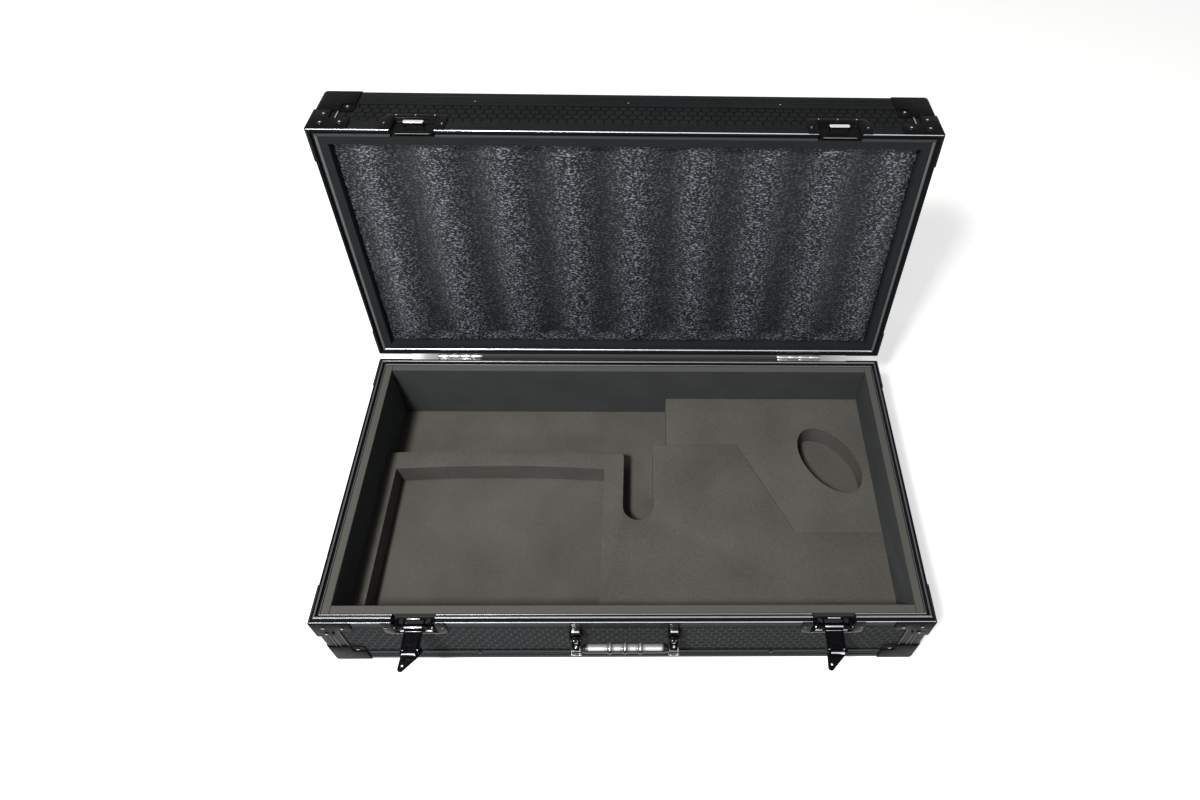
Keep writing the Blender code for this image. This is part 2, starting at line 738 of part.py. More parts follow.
def build_hinges():
    """Two hinges: a leaf on the tray, the same leaf turned over on the lid, and the pin."""
    leaf = leaf_mesh()
    for name, x in (("left", -hinge_x), ("right", hinge_x)):
        for half in ("tray", "lid"):
            obj = bpy.data.objects.new(f"{half}_hinge_leaf_{name}", leaf.data)
            parts.objects.link(obj)
            if half == "tray":
                obj.location = hinge_axis + Vector((x, 0, 0))
            else:
                hang_on_lid(obj, hinge_axis + Vector((x, 0, 0)), math.pi)
        bm = bmesh.new()
        end = hinge_width / 2 + seat_gap
        tip = end + hinge_pin_head_length / 2
        add_rod(bm, "X", (-tip, 0, 0), (tip, 0, 0), hinge_pin_radius, small_round_steps)
        pin = new_object(f"hinge_pin_{name}", bm, hinge_finish)
        heads = bmesh.new()
        for side in (-1, 1):
            ends = sorted((side * end, side * (end + hinge_pin_head_length)))
            add_rod(heads, "X", (ends[0], 0, 0), (ends[1], 0, 0), hinge_pin_head, small_round_steps)
        combine(pin, heads, "UNION")
        smooth(pin)
        pin.location = hinge_axis + Vector((x, 0, 0))
    bpy.data.objects.remove(leaf)


def dish_mesh(name):
    """A pressed dish: a flange on the wall's face and a tub that is open at the rim."""
    half, tub = dish_width / 2, tub_width / 2
    front = -seat_gap - dish_sheet
    depth = panel_back - edge_face - dish_sheet - front
    bm = bmesh.new()
    add_block(bm, (-half, front, -dish_drop), (half, 0, 0))
    drop_faces(bm, lambda c: c.y > front + seat_gap)
    corners = [v for v in bm.verts if v.co.z < seat_gap - dish_drop]
    bmesh.ops.bevel(bm, geom=corners, offset=dish_round, segments=dish_round_steps, profile=0.5,
                    affect="VERTICES")
    split(bm, (-tub, 0, 0), (1, 0, 0))
    split(bm, (tub, 0, 0), (1, 0, 0))
    split(bm, (0, 0, -tub_drop), (0, 0, 1))
    floor = [f for f in bm.faces if abs(f.calc_center_median().x) < tub
             and f.calc_center_median().z > -tub_drop]
    pushed = bmesh.ops.extrude_face_region(bm, geom=floor, use_keep_orig=False)["geom"]
    moved = [item for item in pushed if isinstance(item, bmesh.types.BMVert)]
    bmesh.ops.translate(bm, verts=moved, vec=(0, depth, 0))
    bmesh.ops.delete(bm, geom=floor, context="FACES_ONLY")
    drop_faces(bm, lambda c: c.z > -seat_gap)
    bmesh.ops.recalc_face_normals(bm, faces=bm.faces[:])
    if max(bm.faces, key=lambda f: f.calc_area()).normal.y > 0:
        bmesh.ops.reverse_faces(bm, faces=bm.faces[:])
    dish = new_object(name, bm, steel_finish)
    thicken(dish, dish_sheet)
    return dish


def dish_rivets():
    """The rivets on a dish's flange, at the ears and along its foot."""
    places = [(dish_width * along, -dish_drop * down) for along, down in dish_rivet_shares]
    return rivets(places, "Y", -seat_gap - dish_sheet)


def tub_floor():
    """How deep the tub's inner floor lies behind the edge angles' face."""
    return panel_back - edge_face - dish_sheet


def build_latch_dish(name, x):
    """The tray's dish with the two lugs and the pin that carry the arm."""
    dish = dish_mesh(f"latch_dish_{name}")
    pivot_y = -edge_face - pivot_out
    lugs = bmesh.new()
    for side in (-1, 1):
        low = side * lug_x - lug_width / 2
        add_block(lugs, (low, pivot_y, -pivot_drop - lug_radius),
                  (low + lug_width, tub_floor() + dish_sheet / 2, -pivot_drop + lug_radius))
    combine(dish, lugs, "UNION")
    noses = bmesh.new()
    for side in (-1, 1):
        low = side * lug_x - lug_width / 2
        add_rod(noses, "X", (low, pivot_y, -pivot_drop), (low + lug_width, pivot_y, -pivot_drop),
                lug_radius, small_round_steps)
    combine(dish, noses, "UNION")
    pin = bmesh.new()
    end = lug_x + lug_width / 2 + latch_pin_overhang
    add_rod(pin, "X", (-end, pivot_y, -pivot_drop), (end, pivot_y, -pivot_drop),
            latch_pin_radius, small_round_steps)
    combine(dish, pin, "UNION")
    combine(dish, dish_rivets(), "UNION")
    smooth(dish)
    dish.location = (x, -case_depth / 2 + edge_face, tray_height)


def build_keeper(name, x):
    """The lid's dish with the bent strike that the claw pulls on."""
    keeper = dish_mesh(f"keeper_dish_{name}")
    half = strike_width / 2
    claw_inner = -edge_face - pivot_out - arm_drop + arm_sheet + seat_gap + claw_thickness
    front = claw_inner + catch_gap
    top = claw_reach - claw_travel - pivot_drop - seam_gap - catch_gap
    back = tub_floor() + dish_sheet / 2
    section = [(-half, back), (-half, front), (half, front), (half, back), (half - strike_leg, back),
               (half - strike_leg, front + strike_sheet), (-half + strike_leg, front + strike_sheet),
               (-half + strike_leg, back)]
    strike = move(outline_mesh([section], strike_length), (0, 0, -top))
    combine(keeper, strike, "UNION")
    combine(keeper, dish_rivets(), "UNION")
    smooth(keeper)
    hang_on_lid(keeper, (x, -case_depth / 2 + edge_face, tray_height + seam_gap), math.pi)


def build_arm(name, x):
    """The arm: a shallow channel with a rolled barrel on the pin, standing straight out."""
    half = arm_width / 2
    wall_top = arm_wall - arm_drop
    plate_top = arm_sheet - arm_drop
    section = [(-half, -arm_drop), (half, -arm_drop), (half, wall_top), (half - arm_sheet, wall_top),
               (half - arm_sheet, plate_top), (arm_sheet - half, plate_top),
               (arm_sheet - half, wall_top), (-half, wall_top)]
    bm = stand(outline_mesh([section], arm_length + arm_heel), "Y")
    arm = new_object(f"latch_arm_{name}", move(bm, (0, arm_heel, 0)), latch_finish)
    barrel, bore, hole = bmesh.new(), bmesh.new(), bmesh.new()
    add_rod(barrel, "X", (-barrel_width / 2, 0, 0), (barrel_width / 2, 0, 0), barrel_radius,
            round_steps)
    add_rod(bore, "X", (-half - cut_overrun, 0, 0), (half + cut_overrun, 0, 0),
            latch_pin_radius + running_gap, small_round_steps)
    add_rod(hole, "Z", (0, -key_reach, -arm_drop - cut_overrun), (0, -key_reach, cut_overrun),
            spindle_radius + running_gap, round_steps)
    combine(arm, barrel, "UNION")
    combine(arm, bore, "DIFFERENCE")
    combine(arm, hole, "DIFFERENCE")
    smooth(arm)
    arm.location = latch_pivot + Vector((x, 0, 0))
    return arm


def build_key(name, arm):
    """The butterfly key: a drop-shaped blade, its spindle through the arm and the crank pin."""
    head = math.acos((key_head_radius - key_tip_radius) / key_tip_reach)
    outline = arc((0, 0), key_head_radius, -math.pi / 2 + head, 3 * math.pi / 2 - head, round_steps)
    outline += arc((0, -key_tip_reach), key_tip_radius, -math.pi / 2 - head, -math.pi / 2 + head,
                   small_round_steps // 2)
    hole = arc((0, -key_tip_reach), key_hole_radius, 0, 2 * math.pi, small_round_steps)[:-1]
    blade_low = -key_blade_drop - key_blade_thickness
    bm = move(outline_mesh([outline, hole], key_blade_thickness), (0, 0, blade_low))
    key = new_object(f"latch_key_{name}", bm, latch_finish)
    plate_top = arm_sheet - arm_drop
    hub, spindle, crank = bmesh.new(), bmesh.new(), bmesh.new()
    add_rod(hub, "Z", (0, 0, blade_low + key_blade_thickness / 2), (0, 0, -arm_drop - running_gap),
            key_hub_radius, round_steps)
    add_rod(spindle, "Z", (0, 0, -arm_drop - key_blade_thickness / 2), (0, 0, plate_top),
            spindle_radius, round_steps)
    crank_low = plate_top - arm_sheet / 2
    add_rod(crank, "Z", (0, -crank_radius, crank_low), (0, -crank_radius, plate_top + crank_pin_height),
            crank_pin_radius, small_round_steps)
    for shape in (hub, spindle, crank):
        combine(key, shape, "UNION")
    smooth(key)
    key.parent = arm
    key.location = (0, -key_reach, 0)
    key.rotation_euler = (0, 0, -key_rest_angle)


def build_claw(name, arm):
    """The claw: a plate that slides in the arm, with a turned-up lip and the crank's slot."""
    low = arm_sheet - arm_drop + seat_gap
    high = low + claw_thickness
    end = claw_reach + claw_lip
    section = [(-claw_start, low), (-claw_start, high), (-claw_reach, high),
               (-claw_reach, low + claw_lip_height), (-end, low + claw_lip_height), (-end, low)]
    bm = move(stand(outline_mesh([section], claw_width), "X"), (-claw_width / 2, 0, 0))
    claw = new_object(f"latch_claw_{name}", bm, zinc_finish)
    centre = -key_reach - crank_radius * math.cos(key_rest_angle)
    half_slot = crank_pin_radius + crank_slot_play
    slot = bmesh.new()
    side = crank_radius + crank_pin_radius + running_gap
    add_block(slot, (-side, centre - half_slot, low - cut_overrun),
              (side, centre + half_slot, high + cut_overrun))
    combine(claw, slot, "DIFFERENCE")
    claw.parent = arm


def build_bracket(name, x):
    """A handle bracket seen from its pin: plate, hood, two ears and the pin across them."""
    half = bracket_width / 2
    plate_front = bracket_pivot_out + panel_face - seat_gap - bracket_plate
    top = bracket_pivot_drop - rim_leg - seat_gap
    bm = bmesh.new()
    add_block(bm, (-half, plate_front, top - bracket_drop), (half, plate_front + bracket_plate, top))
    bracket = new_object(f"handle_bracket_{name}", bm, chrome_finish)
    hood = bmesh.new()
    add_block(hood, (-half, plate_front - hood_reach, top - hood_thickness),
              (half, plate_front + bracket_plate / 2, top))
    combine(bracket, hood, "UNION")
    reach = plate_front + bracket_plate / 2
    side = [(reach, top - hood_thickness / 2), (plate_front - hood_reach, top - hood_thickness / 2),
            (-ear_reach, ear_reach)]
    side += arc((0, 0), ear_reach, math.pi, 3 * math.pi / 2, small_round_steps // 2)
    side += [(reach, -ear_reach)]
    ears = bmesh.new()
    for left in (-half, half - ear_width):
        ear = move(stand(outline_mesh([side], ear_width), "X"), (left, 0, 0))
        shape = bpy.data.meshes.new("ear")
        ear.to_mesh(shape)
        ear.free()
        ears.from_mesh(shape)
        bpy.data.meshes.remove(shape)
    combine(bracket, ears, "UNION")
    pin = bmesh.new()
    add_rod(pin, "X", (-half + ear_width / 2, 0, 0), (half - ear_width / 2, 0, 0),
            handle_pin_radius, small_round_steps)
    combine(bracket, pin, "UNION")
    smooth(bracket)
    bracket.location = (x, -case_depth / 2 - bracket_pivot_out, tray_height - bracket_pivot_drop)


def build_link(name, x, axis):
    """A handle link: an eye on the bracket's pin and a stirrup that holds the grip's end."""
    stem = link_stem_width / 2
    bm = bmesh.new()
    add_rod(bm, "X", (-stem, 0, 0), (stem, 0, 0), link_eye_radius, round_steps)
    link = new_object(f"handle_link_{name}", bm, chrome_finish)
    half = stirrup_width / 2
    low = -grip_drop - stirrup_height / 2
    high = low + stirrup_height
    back = -grip_out + stirrup_depth / 2
    web = bmesh.new()
    add_block(web, (-stem, -link_eye_radius, high - stirrup_wall),
              (stem, link_stem_thickness - link_eye_radius, 0))
    combine(link, web, "UNION")
    stirrup = bmesh.new()
    add_block(stirrup, (-half, back - stirrup_depth, low), (half, back, high))
    combine(link, stirrup, "UNION")
    room = bmesh.new()
    add_block(room, (stirrup_wall - half, back - stirrup_depth - cut_overrun, low + stirrup_wall),
              (half - stirrup_wall, back - stirrup_wall, high - stirrup_wall))
    combine(link, room, "DIFFERENCE")
    bore = bmesh.new()
    add_rod(bore, "X", (-half - cut_overrun, 0, 0), (half + cut_overrun, 0, 0),
            handle_pin_radius + running_gap, small_round_steps)
    combine(link, bore, "DIFFERENCE")
    hole = bmesh.new()
    inner = -math.copysign(half - stirrup_wall / 2, x)
    ends = sorted((inner - stirrup_wall, inner + stirrup_wall))
    add_rod(hole, "X", (ends[0], -grip_out, -grip_drop), (ends[1], -grip_out, -grip_drop),
            spigot_radius + seat_gap, small_round_steps)
    combine(link, hole, "DIFFERENCE")
    smooth(link)
    link.parent = axis
    link.location = (x, 0, 0)


def build_grip(axis):
    """The grip: a turned bar with finger ridges and a spigot at each end."""
    half = bracket_x - stirrup_width / 2 - seat_gap
    ridges = [ridge_pitch * (i - (ridge_count - 1) / 2) for i in range(ridge_count)]
    profile = [(0, half + spigot_length), (spigot_radius, half + spigot_length), (spigot_radius, half),
               (grip_end_radius, half), (grip_radius, half - grip_end_length)]
    for place in reversed(ridges):
        profile += [(grip_radius, place + ridge_width), (ridge_radius, place + ridge_width / 2),
                    (ridge_radius, place - ridge_width / 2), (grip_radius, place - ridge_width)]
    profile += [(grip_radius, grip_end_length - half), (grip_end_radius, -half), (spigot_radius, -half),
                (spigot_radius, -half - spigot_length), (0, -half - spigot_length)]
    bm = bmesh.new()
    rail = [bm.verts.new((radius, 0, level)) for radius, level in profile]
    for first, second in zip(rail, rail[1:]):
        bm.edges.new((first, second))
    grip = new_object("handle_grip", bm, grip_finish)
    turned = grip.modifiers.new("turned", "SCREW")
    turned.axis = "Z"
    turned.steps = turned.render_steps = round_steps
    turned.use_merge_vertices = True
    turned.merge_threshold = weld_distance
    turned.use_normal_calculate = True
    bake(grip)
    grip.data.transform(Matrix.Rotation(math.pi / 2, 4, "Y"))
    smooth(grip)
    grip.parent = axis
    grip.location = (0, -grip_out, -grip_drop)


for old in list(bpy.data.objects):
    bpy.data.objects.remove(old)
parts = bpy.data.collections.new("carry_case")
bpy.context.scene.collection.children.link(parts)

panel_finish = finish("hexagon board", (0.028, 0.032, 0.033), 0.55)
edge_finish = finish("black anodised angle", (0.012, 0.012, 0.013), 0.32, 0.9)
rim_finish = finish("black anodised rim", (0.012, 0.012, 0.013), 0.25, 0.9)
steel_finish = finish("black coated steel", (0.014, 0.014, 0.015), 0.42, 0.4)
latch_finish = finish("black plated steel", (0.010, 0.010, 0.011), 0.28, 0.6)
zinc_finish = finish("bright zinc", (0.72, 0.74, 0.76), 0.25, 1.0)
chrome_finish = finish("chrome", (0.80, 0.80, 0.82), 0.12, 1.0)
hinge_finish = finish("nickel hinge", (0.62, 0.62, 0.64), 0.25, 1.0)
grip_finish = finish("glossy grip", (0.030, 0.030, 0.032), 0.15)
foam_finish = finish("grey foam", (0.095, 0.088, 0.080), 0.95)
lining_finish = finish("dark lining foam", (0.060, 0.062, 0.062), 0.95)
wave_finish = finish("wave foam", (0.020, 0.021, 0.024), 0.7)

lid_axis = bpy.data.objects.new("lid_axis", None)
lid_axis.location = hinge_axis
lid_axis.rotation_euler = (-lid_open_angle, 0, 0)
handle_axis = bpy.data.objects.new("handle_axis", None)
handle_axis.location = (0, -case_depth / 2 - bracket_pivot_out, tray_height - bracket_pivot_drop)
for empty in (lid_axis, handle_axis):
    parts.objects.link(empty)

build_panels("tray", tray_height, -1, place_in_tray)
build_panels("lid", lid_height, 1, place_in_lid)
build_edge_frame("tray", tray_height, place_in_tray)
build_edge_frame("lid", lid_height, place_in_lid)
build_rim("tray", tray_height, -1, tray_rim_profile(), place_in_tray)
build_rim("lid", lid_height, 1, lid_rim_profile(), place_in_lid)
build_corners("tray", tray_height, place_in_tray)
build_corners("lid", lid_height, place_in_lid)
build_tray_linings()
build_tray_foam()
build_lid_foam()
build_hinges()
for latch_name, latch_place in (("left", -latch_x), ("right", latch_x)):
    build_latch_dish(latch_name, latch_place)
    build_keeper(latch_name, latch_place)
    latch_arm = build_arm(latch_name, latch_place)
    build_key(latch_name, latch_arm)
    build_claw(latch_name, latch_arm)
for bracket_name, bracket_place in (("left", -bracket_x), ("right", bracket_x)):
    build_bracket(bracket_name, bracket_place)
    build_link(bracket_name, bracket_place, handle_axis)
build_grip(handle_axis)
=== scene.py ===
# %% [markdown]
# # A carry case with a hinged lid, butterfly latches and fitted foam
#
# The working model of the case already exists: its boards, edges, hinges and latches are solids
# with real sizes and real joints. This notebook dresses that model. Each step makes one kind of
# piece at the place the model gives, and hands it to the part of the case that it moves with.

# %% Load the working model
import json
import math

import bpy
from mathutils import Matrix, Vector, geometry, noise


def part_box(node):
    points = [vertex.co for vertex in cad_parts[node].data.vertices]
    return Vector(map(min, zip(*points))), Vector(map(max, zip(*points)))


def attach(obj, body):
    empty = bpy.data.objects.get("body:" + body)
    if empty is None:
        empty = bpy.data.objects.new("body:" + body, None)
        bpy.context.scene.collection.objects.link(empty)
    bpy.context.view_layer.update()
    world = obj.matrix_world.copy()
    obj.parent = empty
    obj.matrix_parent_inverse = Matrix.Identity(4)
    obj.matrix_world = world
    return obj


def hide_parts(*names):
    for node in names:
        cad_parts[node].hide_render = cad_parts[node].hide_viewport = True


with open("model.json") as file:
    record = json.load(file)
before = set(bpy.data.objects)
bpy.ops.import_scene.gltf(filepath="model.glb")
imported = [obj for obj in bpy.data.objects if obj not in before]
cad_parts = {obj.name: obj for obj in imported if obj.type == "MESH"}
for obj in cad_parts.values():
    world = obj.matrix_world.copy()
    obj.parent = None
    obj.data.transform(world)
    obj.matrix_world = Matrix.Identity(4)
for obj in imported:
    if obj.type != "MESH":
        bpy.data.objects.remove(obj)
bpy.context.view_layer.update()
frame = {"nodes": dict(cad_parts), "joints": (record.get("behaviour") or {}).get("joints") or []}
joints = {joint["name"]: joint for joint in frame["joints"]}

# %% [markdown]
# ## The camera
#
# The photograph was taken by a wide phone lens, from above and in front of the case. The camera
# stands where the case's own corners say it did: fitting their places in the picture gives its
# position, its tilt and its lens. The small shift comes from the picture's cropping.

# %% Camera
camera_place = Vector((0.0255, -0.6754, 1.3349))
camera_pitch = math.radians(48.28)
camera_yaw = math.radians(-1.84)
camera_roll = math.radians(1.71)

camera_data = bpy.data.cameras.new("camera")
camera_data.lens = 24.717
camera_data.sensor_width = 36
camera_data.shift_x = -0.0518
camera_data.shift_y = -0.083
camera = bpy.data.objects.new("camera", camera_data)
bpy.context.scene.collection.objects.link(camera)
looking = Matrix.Rotation(camera_yaw, 4, "Z") @ Matrix.Rotation(math.pi / 2 - camera_pitch, 4, "X")
camera.matrix_world = Matrix.Translation(camera_place) @ looking @ Matrix.Rotation(camera_roll, 4, "Z")
bpy.context.scene.camera = camera
bpy.context.scene.view_settings.view_transform = "Standard"
print("camera at", tuple(round(value, 3) for value in camera.location))

# %% [markdown]
# ## Shader nodes
#
# The world, the floor and every finish are made of shader nodes, so one small function adds a
# node and sets it.

# %% Shader nodes
def add_node(nodes, kind, values=None, **settings):
    """A shader node with its settings made, and then with values for some of its inputs."""
    node = nodes.new("ShaderNode" + kind)
    for name, value in settings.items():
        setattr(node, name, value)
    for socket, value in (values or {}).items():
        node.inputs[socket].default_value = value
    return node


print("helper: add_node")

# %% [markdown]
# ## Light and floor
#
# A studio picture on white. Most of the light falls from the upper left, as from a window, so
# walls that face right lie in shade. A narrow lamp above and one in front draw the thin bright
# lines along black metal. The world is dimmer as a lamp than it looks, because Light Path lets
# the camera and the reflections see it white.

# %% World
world = bpy.data.worlds.new("studio")
bpy.context.scene.world = world
world.use_nodes = True
nodes, links = world.node_tree.nodes, world.node_tree.links
nodes.clear()
path = add_node(nodes, "LightPath")
seen = add_node(nodes, "Math", operation="MAXIMUM")
seen_or_through = add_node(nodes, "Math", operation="MAXIMUM")
links.new(path.outputs["Is Camera Ray"], seen.inputs[0])
links.new(path.outputs["Is Glossy Ray"], seen.inputs[1])
links.new(seen.outputs[0], seen_or_through.inputs[0])
links.new(path.outputs["Is Transmission Ray"], seen_or_through.inputs[1])
lighting = add_node(nodes, "Background", {"Color": (0.96, 0.98, 1.0, 1), "Strength": 0.13})
backdrop = add_node(nodes, "Background", {"Color": (1, 1, 1, 1)})
mix = add_node(nodes, "MixShader")
links.new(seen_or_through.outputs[0], mix.inputs[0])
links.new(lighting.outputs[0], mix.inputs[1])
links.new(backdrop.outputs[0], mix.inputs[2])
links.new(mix.outputs[0], nodes.new("ShaderNodeOutputWorld").inputs[0])
print("world lights at", lighting.inputs["Strength"].default_value)


# %% Lamps
def add_lamp(name, place, target, size, power, colour):
    """An area lamp at a place, facing a target."""
    lamp = bpy.data.lights.new(name, "AREA")
    lamp.shape = "RECTANGLE"
    lamp.size, lamp.size_y = size
    lamp.energy = power
    lamp.color = colour
    holder = bpy.data.objects.new(name, lamp)
    bpy.context.scene.collection.objects.link(holder)
    holder.location = place
    holder.rotation_euler = (Vector(target) - Vector(place)).to_track_quat("-Z", "Y").to_euler()
    return holder


add_lamp("window", (-0.85, -1.35, 2.8), (0, 0, 0.1), (0.4, 0.4), 100, (1.0, 0.98, 0.94))
add_lamp("overhead", (-0.9, 0.1, 3.0), (0, 0, 0), (1.4, 0.14), 9, (1.0, 0.98, 0.94))
add_lamp("front", (-1.2, -1.9, 1.5), (0, 0, 0.1), (1.2, 0.10), 15, (0.84, 0.94, 1.0))

# %% [markdown]
# ## Floor
#
# The floor is a large pale sheet. Its colour makes the white background, and it is a plain
# diffuse surface so that the case keeps a soft shadow on it. A little glow keeps its far parts
# white. Under the case the glow fades out and the sheet's colour is painted darker, a painted
# shadow that keeps the gap at the hinges dark.

# %% Floor
floor_size = 30
bpy.ops.mesh.primitive_plane_add(size=floor_size, location=(0, 0, 0))
floor = bpy.context.object
floor.name = "floor"
floor_paint = bpy.data.materials.new("floor paint")
floor_paint.use_nodes = True
nodes, links = floor_paint.node_tree.nodes, floor_paint.node_tree.links
nodes.clear()
path = add_node(nodes, "LightPath")
matt = add_node(nodes, "BsdfDiffuse")
glow = add_node(nodes, "Emission")
place_on_floor = add_node(nodes, "TexCoord")
under_case = add_node(nodes, "Mapping", {"Location": (0, -0.38, 0), "Scale": (2.1, 2.94, 1)})
aside = add_node(nodes, "VectorMath", operation="ABSOLUTE")
sides = add_node(nodes, "SeparateXYZ")
away = add_node(nodes, "Math", operation="MAXIMUM")
fade = add_node(nodes, "MapRange", {"From Min": 0.66, "From Max": 1.02})
strength = add_node(nodes, "Math", {1: 0.62}, operation="MULTIPLY")
# Painted shadow: under the case the floor's own colour is painted dark, and its glow fades out.
tone = add_node(nodes, "Mix", {"A": (0.30, 0.29, 0.26, 1), "B": (0.86, 0.86, 0.86, 1)}, data_type="RGBA")
links.new(place_on_floor.outputs["Object"], under_case.inputs["Vector"])
links.new(under_case.outputs["Vector"], aside.inputs[0])
links.new(aside.outputs["Vector"], sides.inputs[0])
links.new(sides.outputs["X"], away.inputs[0])
links.new(sides.outputs["Y"], away.inputs[1])
links.new(away.outputs[0], fade.inputs["Value"])
links.new(fade.outputs["Result"], strength.inputs[0])
links.new(fade.outputs["Result"], tone.inputs["Factor"])
links.new(strength.outputs[0], glow.inputs["Strength"])
links.new(tone.outputs["Result"], matt.inputs["Color"])
total = add_node(nodes, "AddShader")
pick_glow = add_node(nodes, "MixShader")
seen = add_node(nodes, "Math", operation="MAXIMUM")
links.new(path.outputs["Is Camera Ray"], seen.inputs[0])
links.new(path.outputs["Is Glossy Ray"], seen.inputs[1])
links.new(matt.outputs[0], total.inputs[0])
links.new(glow.outputs[0], total.inputs[1])
links.new(seen.outputs[0], pick_glow.inputs[0])
links.new(matt.outputs[0], pick_glow.inputs[1])
links.new(total.outputs[0], pick_glow.inputs[2])
links.new(pick_glow.outputs[0], nodes.new("ShaderNodeOutputMaterial").inputs[0])
floor.data.materials.append(floor_paint)
print("floor", floor_size, "m")

# %% [markdown]
# ## Sizes
#
# Everything is placed from the working model. The angles' outer faces, the rim's level and the
# hinge come straight from it, so a piece made here fits its neighbours. The lid is described
# lying on its back, with its outer face at zero and its rim up, and is then put into place by
# one matrix: turned over onto the tray, and swung open about the hinge.

# %% Sizes from the model
mm = 0.001
edge_low, edge_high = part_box("tray_edge_frame")
face_x, face_y = edge_high.x, edge_high.y
edge_face = edge_low.z
case_half_x, case_half_y = face_x + edge_face, face_y + edge_face
tray_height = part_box("tray_corner_brace_front_left")[1].z
lid_height = 103.5 * mm
seam_gap = 0.4 * mm
seat_gap = 0.3 * mm
sheet = 1.5 * mm
weld = 0.01 * mm
hinge_axis = Vector(joints["lid_hinge"]["pos_m"])
open_angle = math.radians(joints["lid_hinge"]["range_deg"][1])
shut_height = tray_height + seam_gap + lid_height
turned_over = Matrix.Translation((0, 0, shut_height)) @ Matrix.Rotation(math.pi, 4, "X")
opening = Matrix.Rotation(-open_angle, 4, "X")
swing = Matrix.Translation(hinge_axis) @ opening @ Matrix.Translation(-hinge_axis)
lid_place = swing @ turned_over
tray_place = Matrix.Identity(4)
places = {"tray": tray_place, "lid": lid_place}
heights = {"tray": tray_height, "lid": lid_height}
print("case", round(2 * case_half_x, 4), "x", round(2 * case_half_y, 4), "tray", round(tray_height, 4))

# %% [markdown]
# ## Working by hand, in code
#
# The next helpers do what one does at the screen: take one piece, pick some of its faces or
# edges, use a tool on them, and leave edit mode again. Operators act on everything selected, so
# each helper first deselects all and then selects only what it works on.


# %% Taking a piece and picking its faces
def take(piece):
    """Leave edit mode, deselect everything and make one piece active."""
    if bpy.context.mode != "OBJECT":
        bpy.ops.object.mode_set(mode="OBJECT")
    bpy.ops.object.select_all(action="DESELECT")
    bpy.context.view_layer.objects.active = piece
    piece.select_set(True)


def pick(piece, kind, test):
    """Enter edit mode with the faces, edges or points that pass a test selected."""
    take(piece)
    bpy.ops.object.mode_set(mode="EDIT")
    bpy.ops.mesh.select_mode(type=kind)
    bpy.ops.mesh.select_all(action="DESELECT")
    bpy.ops.object.mode_set(mode="OBJECT")
    mesh = piece.data
    if kind == "FACE":
        for face in mesh.polygons:
            face.select = test(face.center, face.normal)
    elif kind == "EDGE":
        for edge in mesh.edges:
            edge.select = test(*[mesh.vertices[i].co for i in edge.vertices])
    else:
        for vert in mesh.vertices:
            vert.select = test(vert.co)
    bpy.ops.object.mode_set(mode="EDIT")


def pick_all(piece):
    """Enter edit mode with the whole mesh selected."""
    take(piece)
    bpy.ops.object.mode_set(mode="EDIT")
    bpy.ops.mesh.select_mode(type="VERT")
    bpy.ops.mesh.select_all(action="SELECT")


def leave():
    """Back to object mode."""
    bpy.ops.object.mode_set(mode="OBJECT")


def settle(piece):
    """Put a piece's place, turn and scale into its mesh, so that its object sits at the origin."""
    take(piece)
    bpy.ops.object.transform_apply(location=True, rotation=True, scale=True)
    return piece


def modify(piece, kind, **settings):
    """Add a modifier, set it and apply it."""
    take(piece)
    step = piece.modifiers.new(kind, kind)
    for name, value in settings.items():
        setattr(step, name, value)
    bpy.ops.object.modifier_apply(modifier=step.name)
    return piece


print("helpers: take, pick, pick_all, leave, settle, modify")


# %% Starting shapes
turns = {"X": (0, math.pi / 2, 0), "Y": (math.pi / 2, 0, 0), "Z": (0, 0, 0)}


def block(name, low, high):
    """A cube primitive between two corners."""
    low, high = Vector(low), Vector(high)
    if bpy.context.mode != "OBJECT":
        leave()
    bpy.ops.object.select_all(action="DESELECT")
    bpy.ops.mesh.primitive_cube_add(size=1, location=(low + high) / 2, scale=high - low)
    piece = bpy.context.object
    piece.name = name
    return settle(piece)


def rod(name, centre, radius, length, axis, sides=24, tip=None):
    """A cylinder or cone primitive along one axis, centred on a point."""
    if bpy.context.mode != "OBJECT":
        leave()
    bpy.ops.object.select_all(action="DESELECT")
    bpy.ops.mesh.primitive_cone_add(vertices=sides, radius1=radius, radius2=radius if tip is None else tip,
                                    depth=length, location=centre, rotation=turns[axis])
    piece = bpy.context.object
    piece.name = name
    return settle(piece)


def outline(name, loops, thickness):
    """A flat outline with any holes, drawn as a curve, thick from z = 0 upward."""
    curve = bpy.data.curves.new(name, "CURVE")
    curve.dimensions = "2D"
    curve.fill_mode = "BOTH"
    curve.extrude = thickness / 2
    for loop in loops:
        spline = curve.splines.new("POLY")
        spline.points.add(len(loop) - 1)
        for point, spot in zip(spline.points, loop):
            point.co = (spot[0], spot[1], 0, 1)
        spline.use_cyclic_u = True
    piece = bpy.data.objects.new(name, curve)
    bpy.context.scene.collection.objects.link(piece)
    piece.location.z = thickness / 2
    take(piece)
    bpy.ops.object.convert(target="MESH")
    piece = settle(bpy.context.object)
    pick_all(piece)
    bpy.ops.mesh.remove_doubles(threshold=weld)
    bpy.ops.mesh.dissolve_limited(angle_limit=math.radians(0.5))
    leave()
    return piece


def arc(centre, radius, start, end, steps):
    """Points along an arc, both ends included, with its angles in degrees."""
    angles = [math.radians(start + (end - start) * step / steps) for step in range(steps + 1)]
    return [(centre[0] + radius * math.cos(a), centre[1] + radius * math.sin(a)) for a in angles]


print("helpers: block, rod, outline, arc")


# %% Copies, joins and cuts
def copy_piece(piece, name, place=Matrix.Identity(4)):
    """A copy with its own mesh, put at a place."""
    twin = piece.copy()
    twin.data = piece.data.copy()
    twin.name = name
    bpy.context.scene.collection.objects.link(twin)
    twin.matrix_world = place @ piece.matrix_world
    return settle(twin)


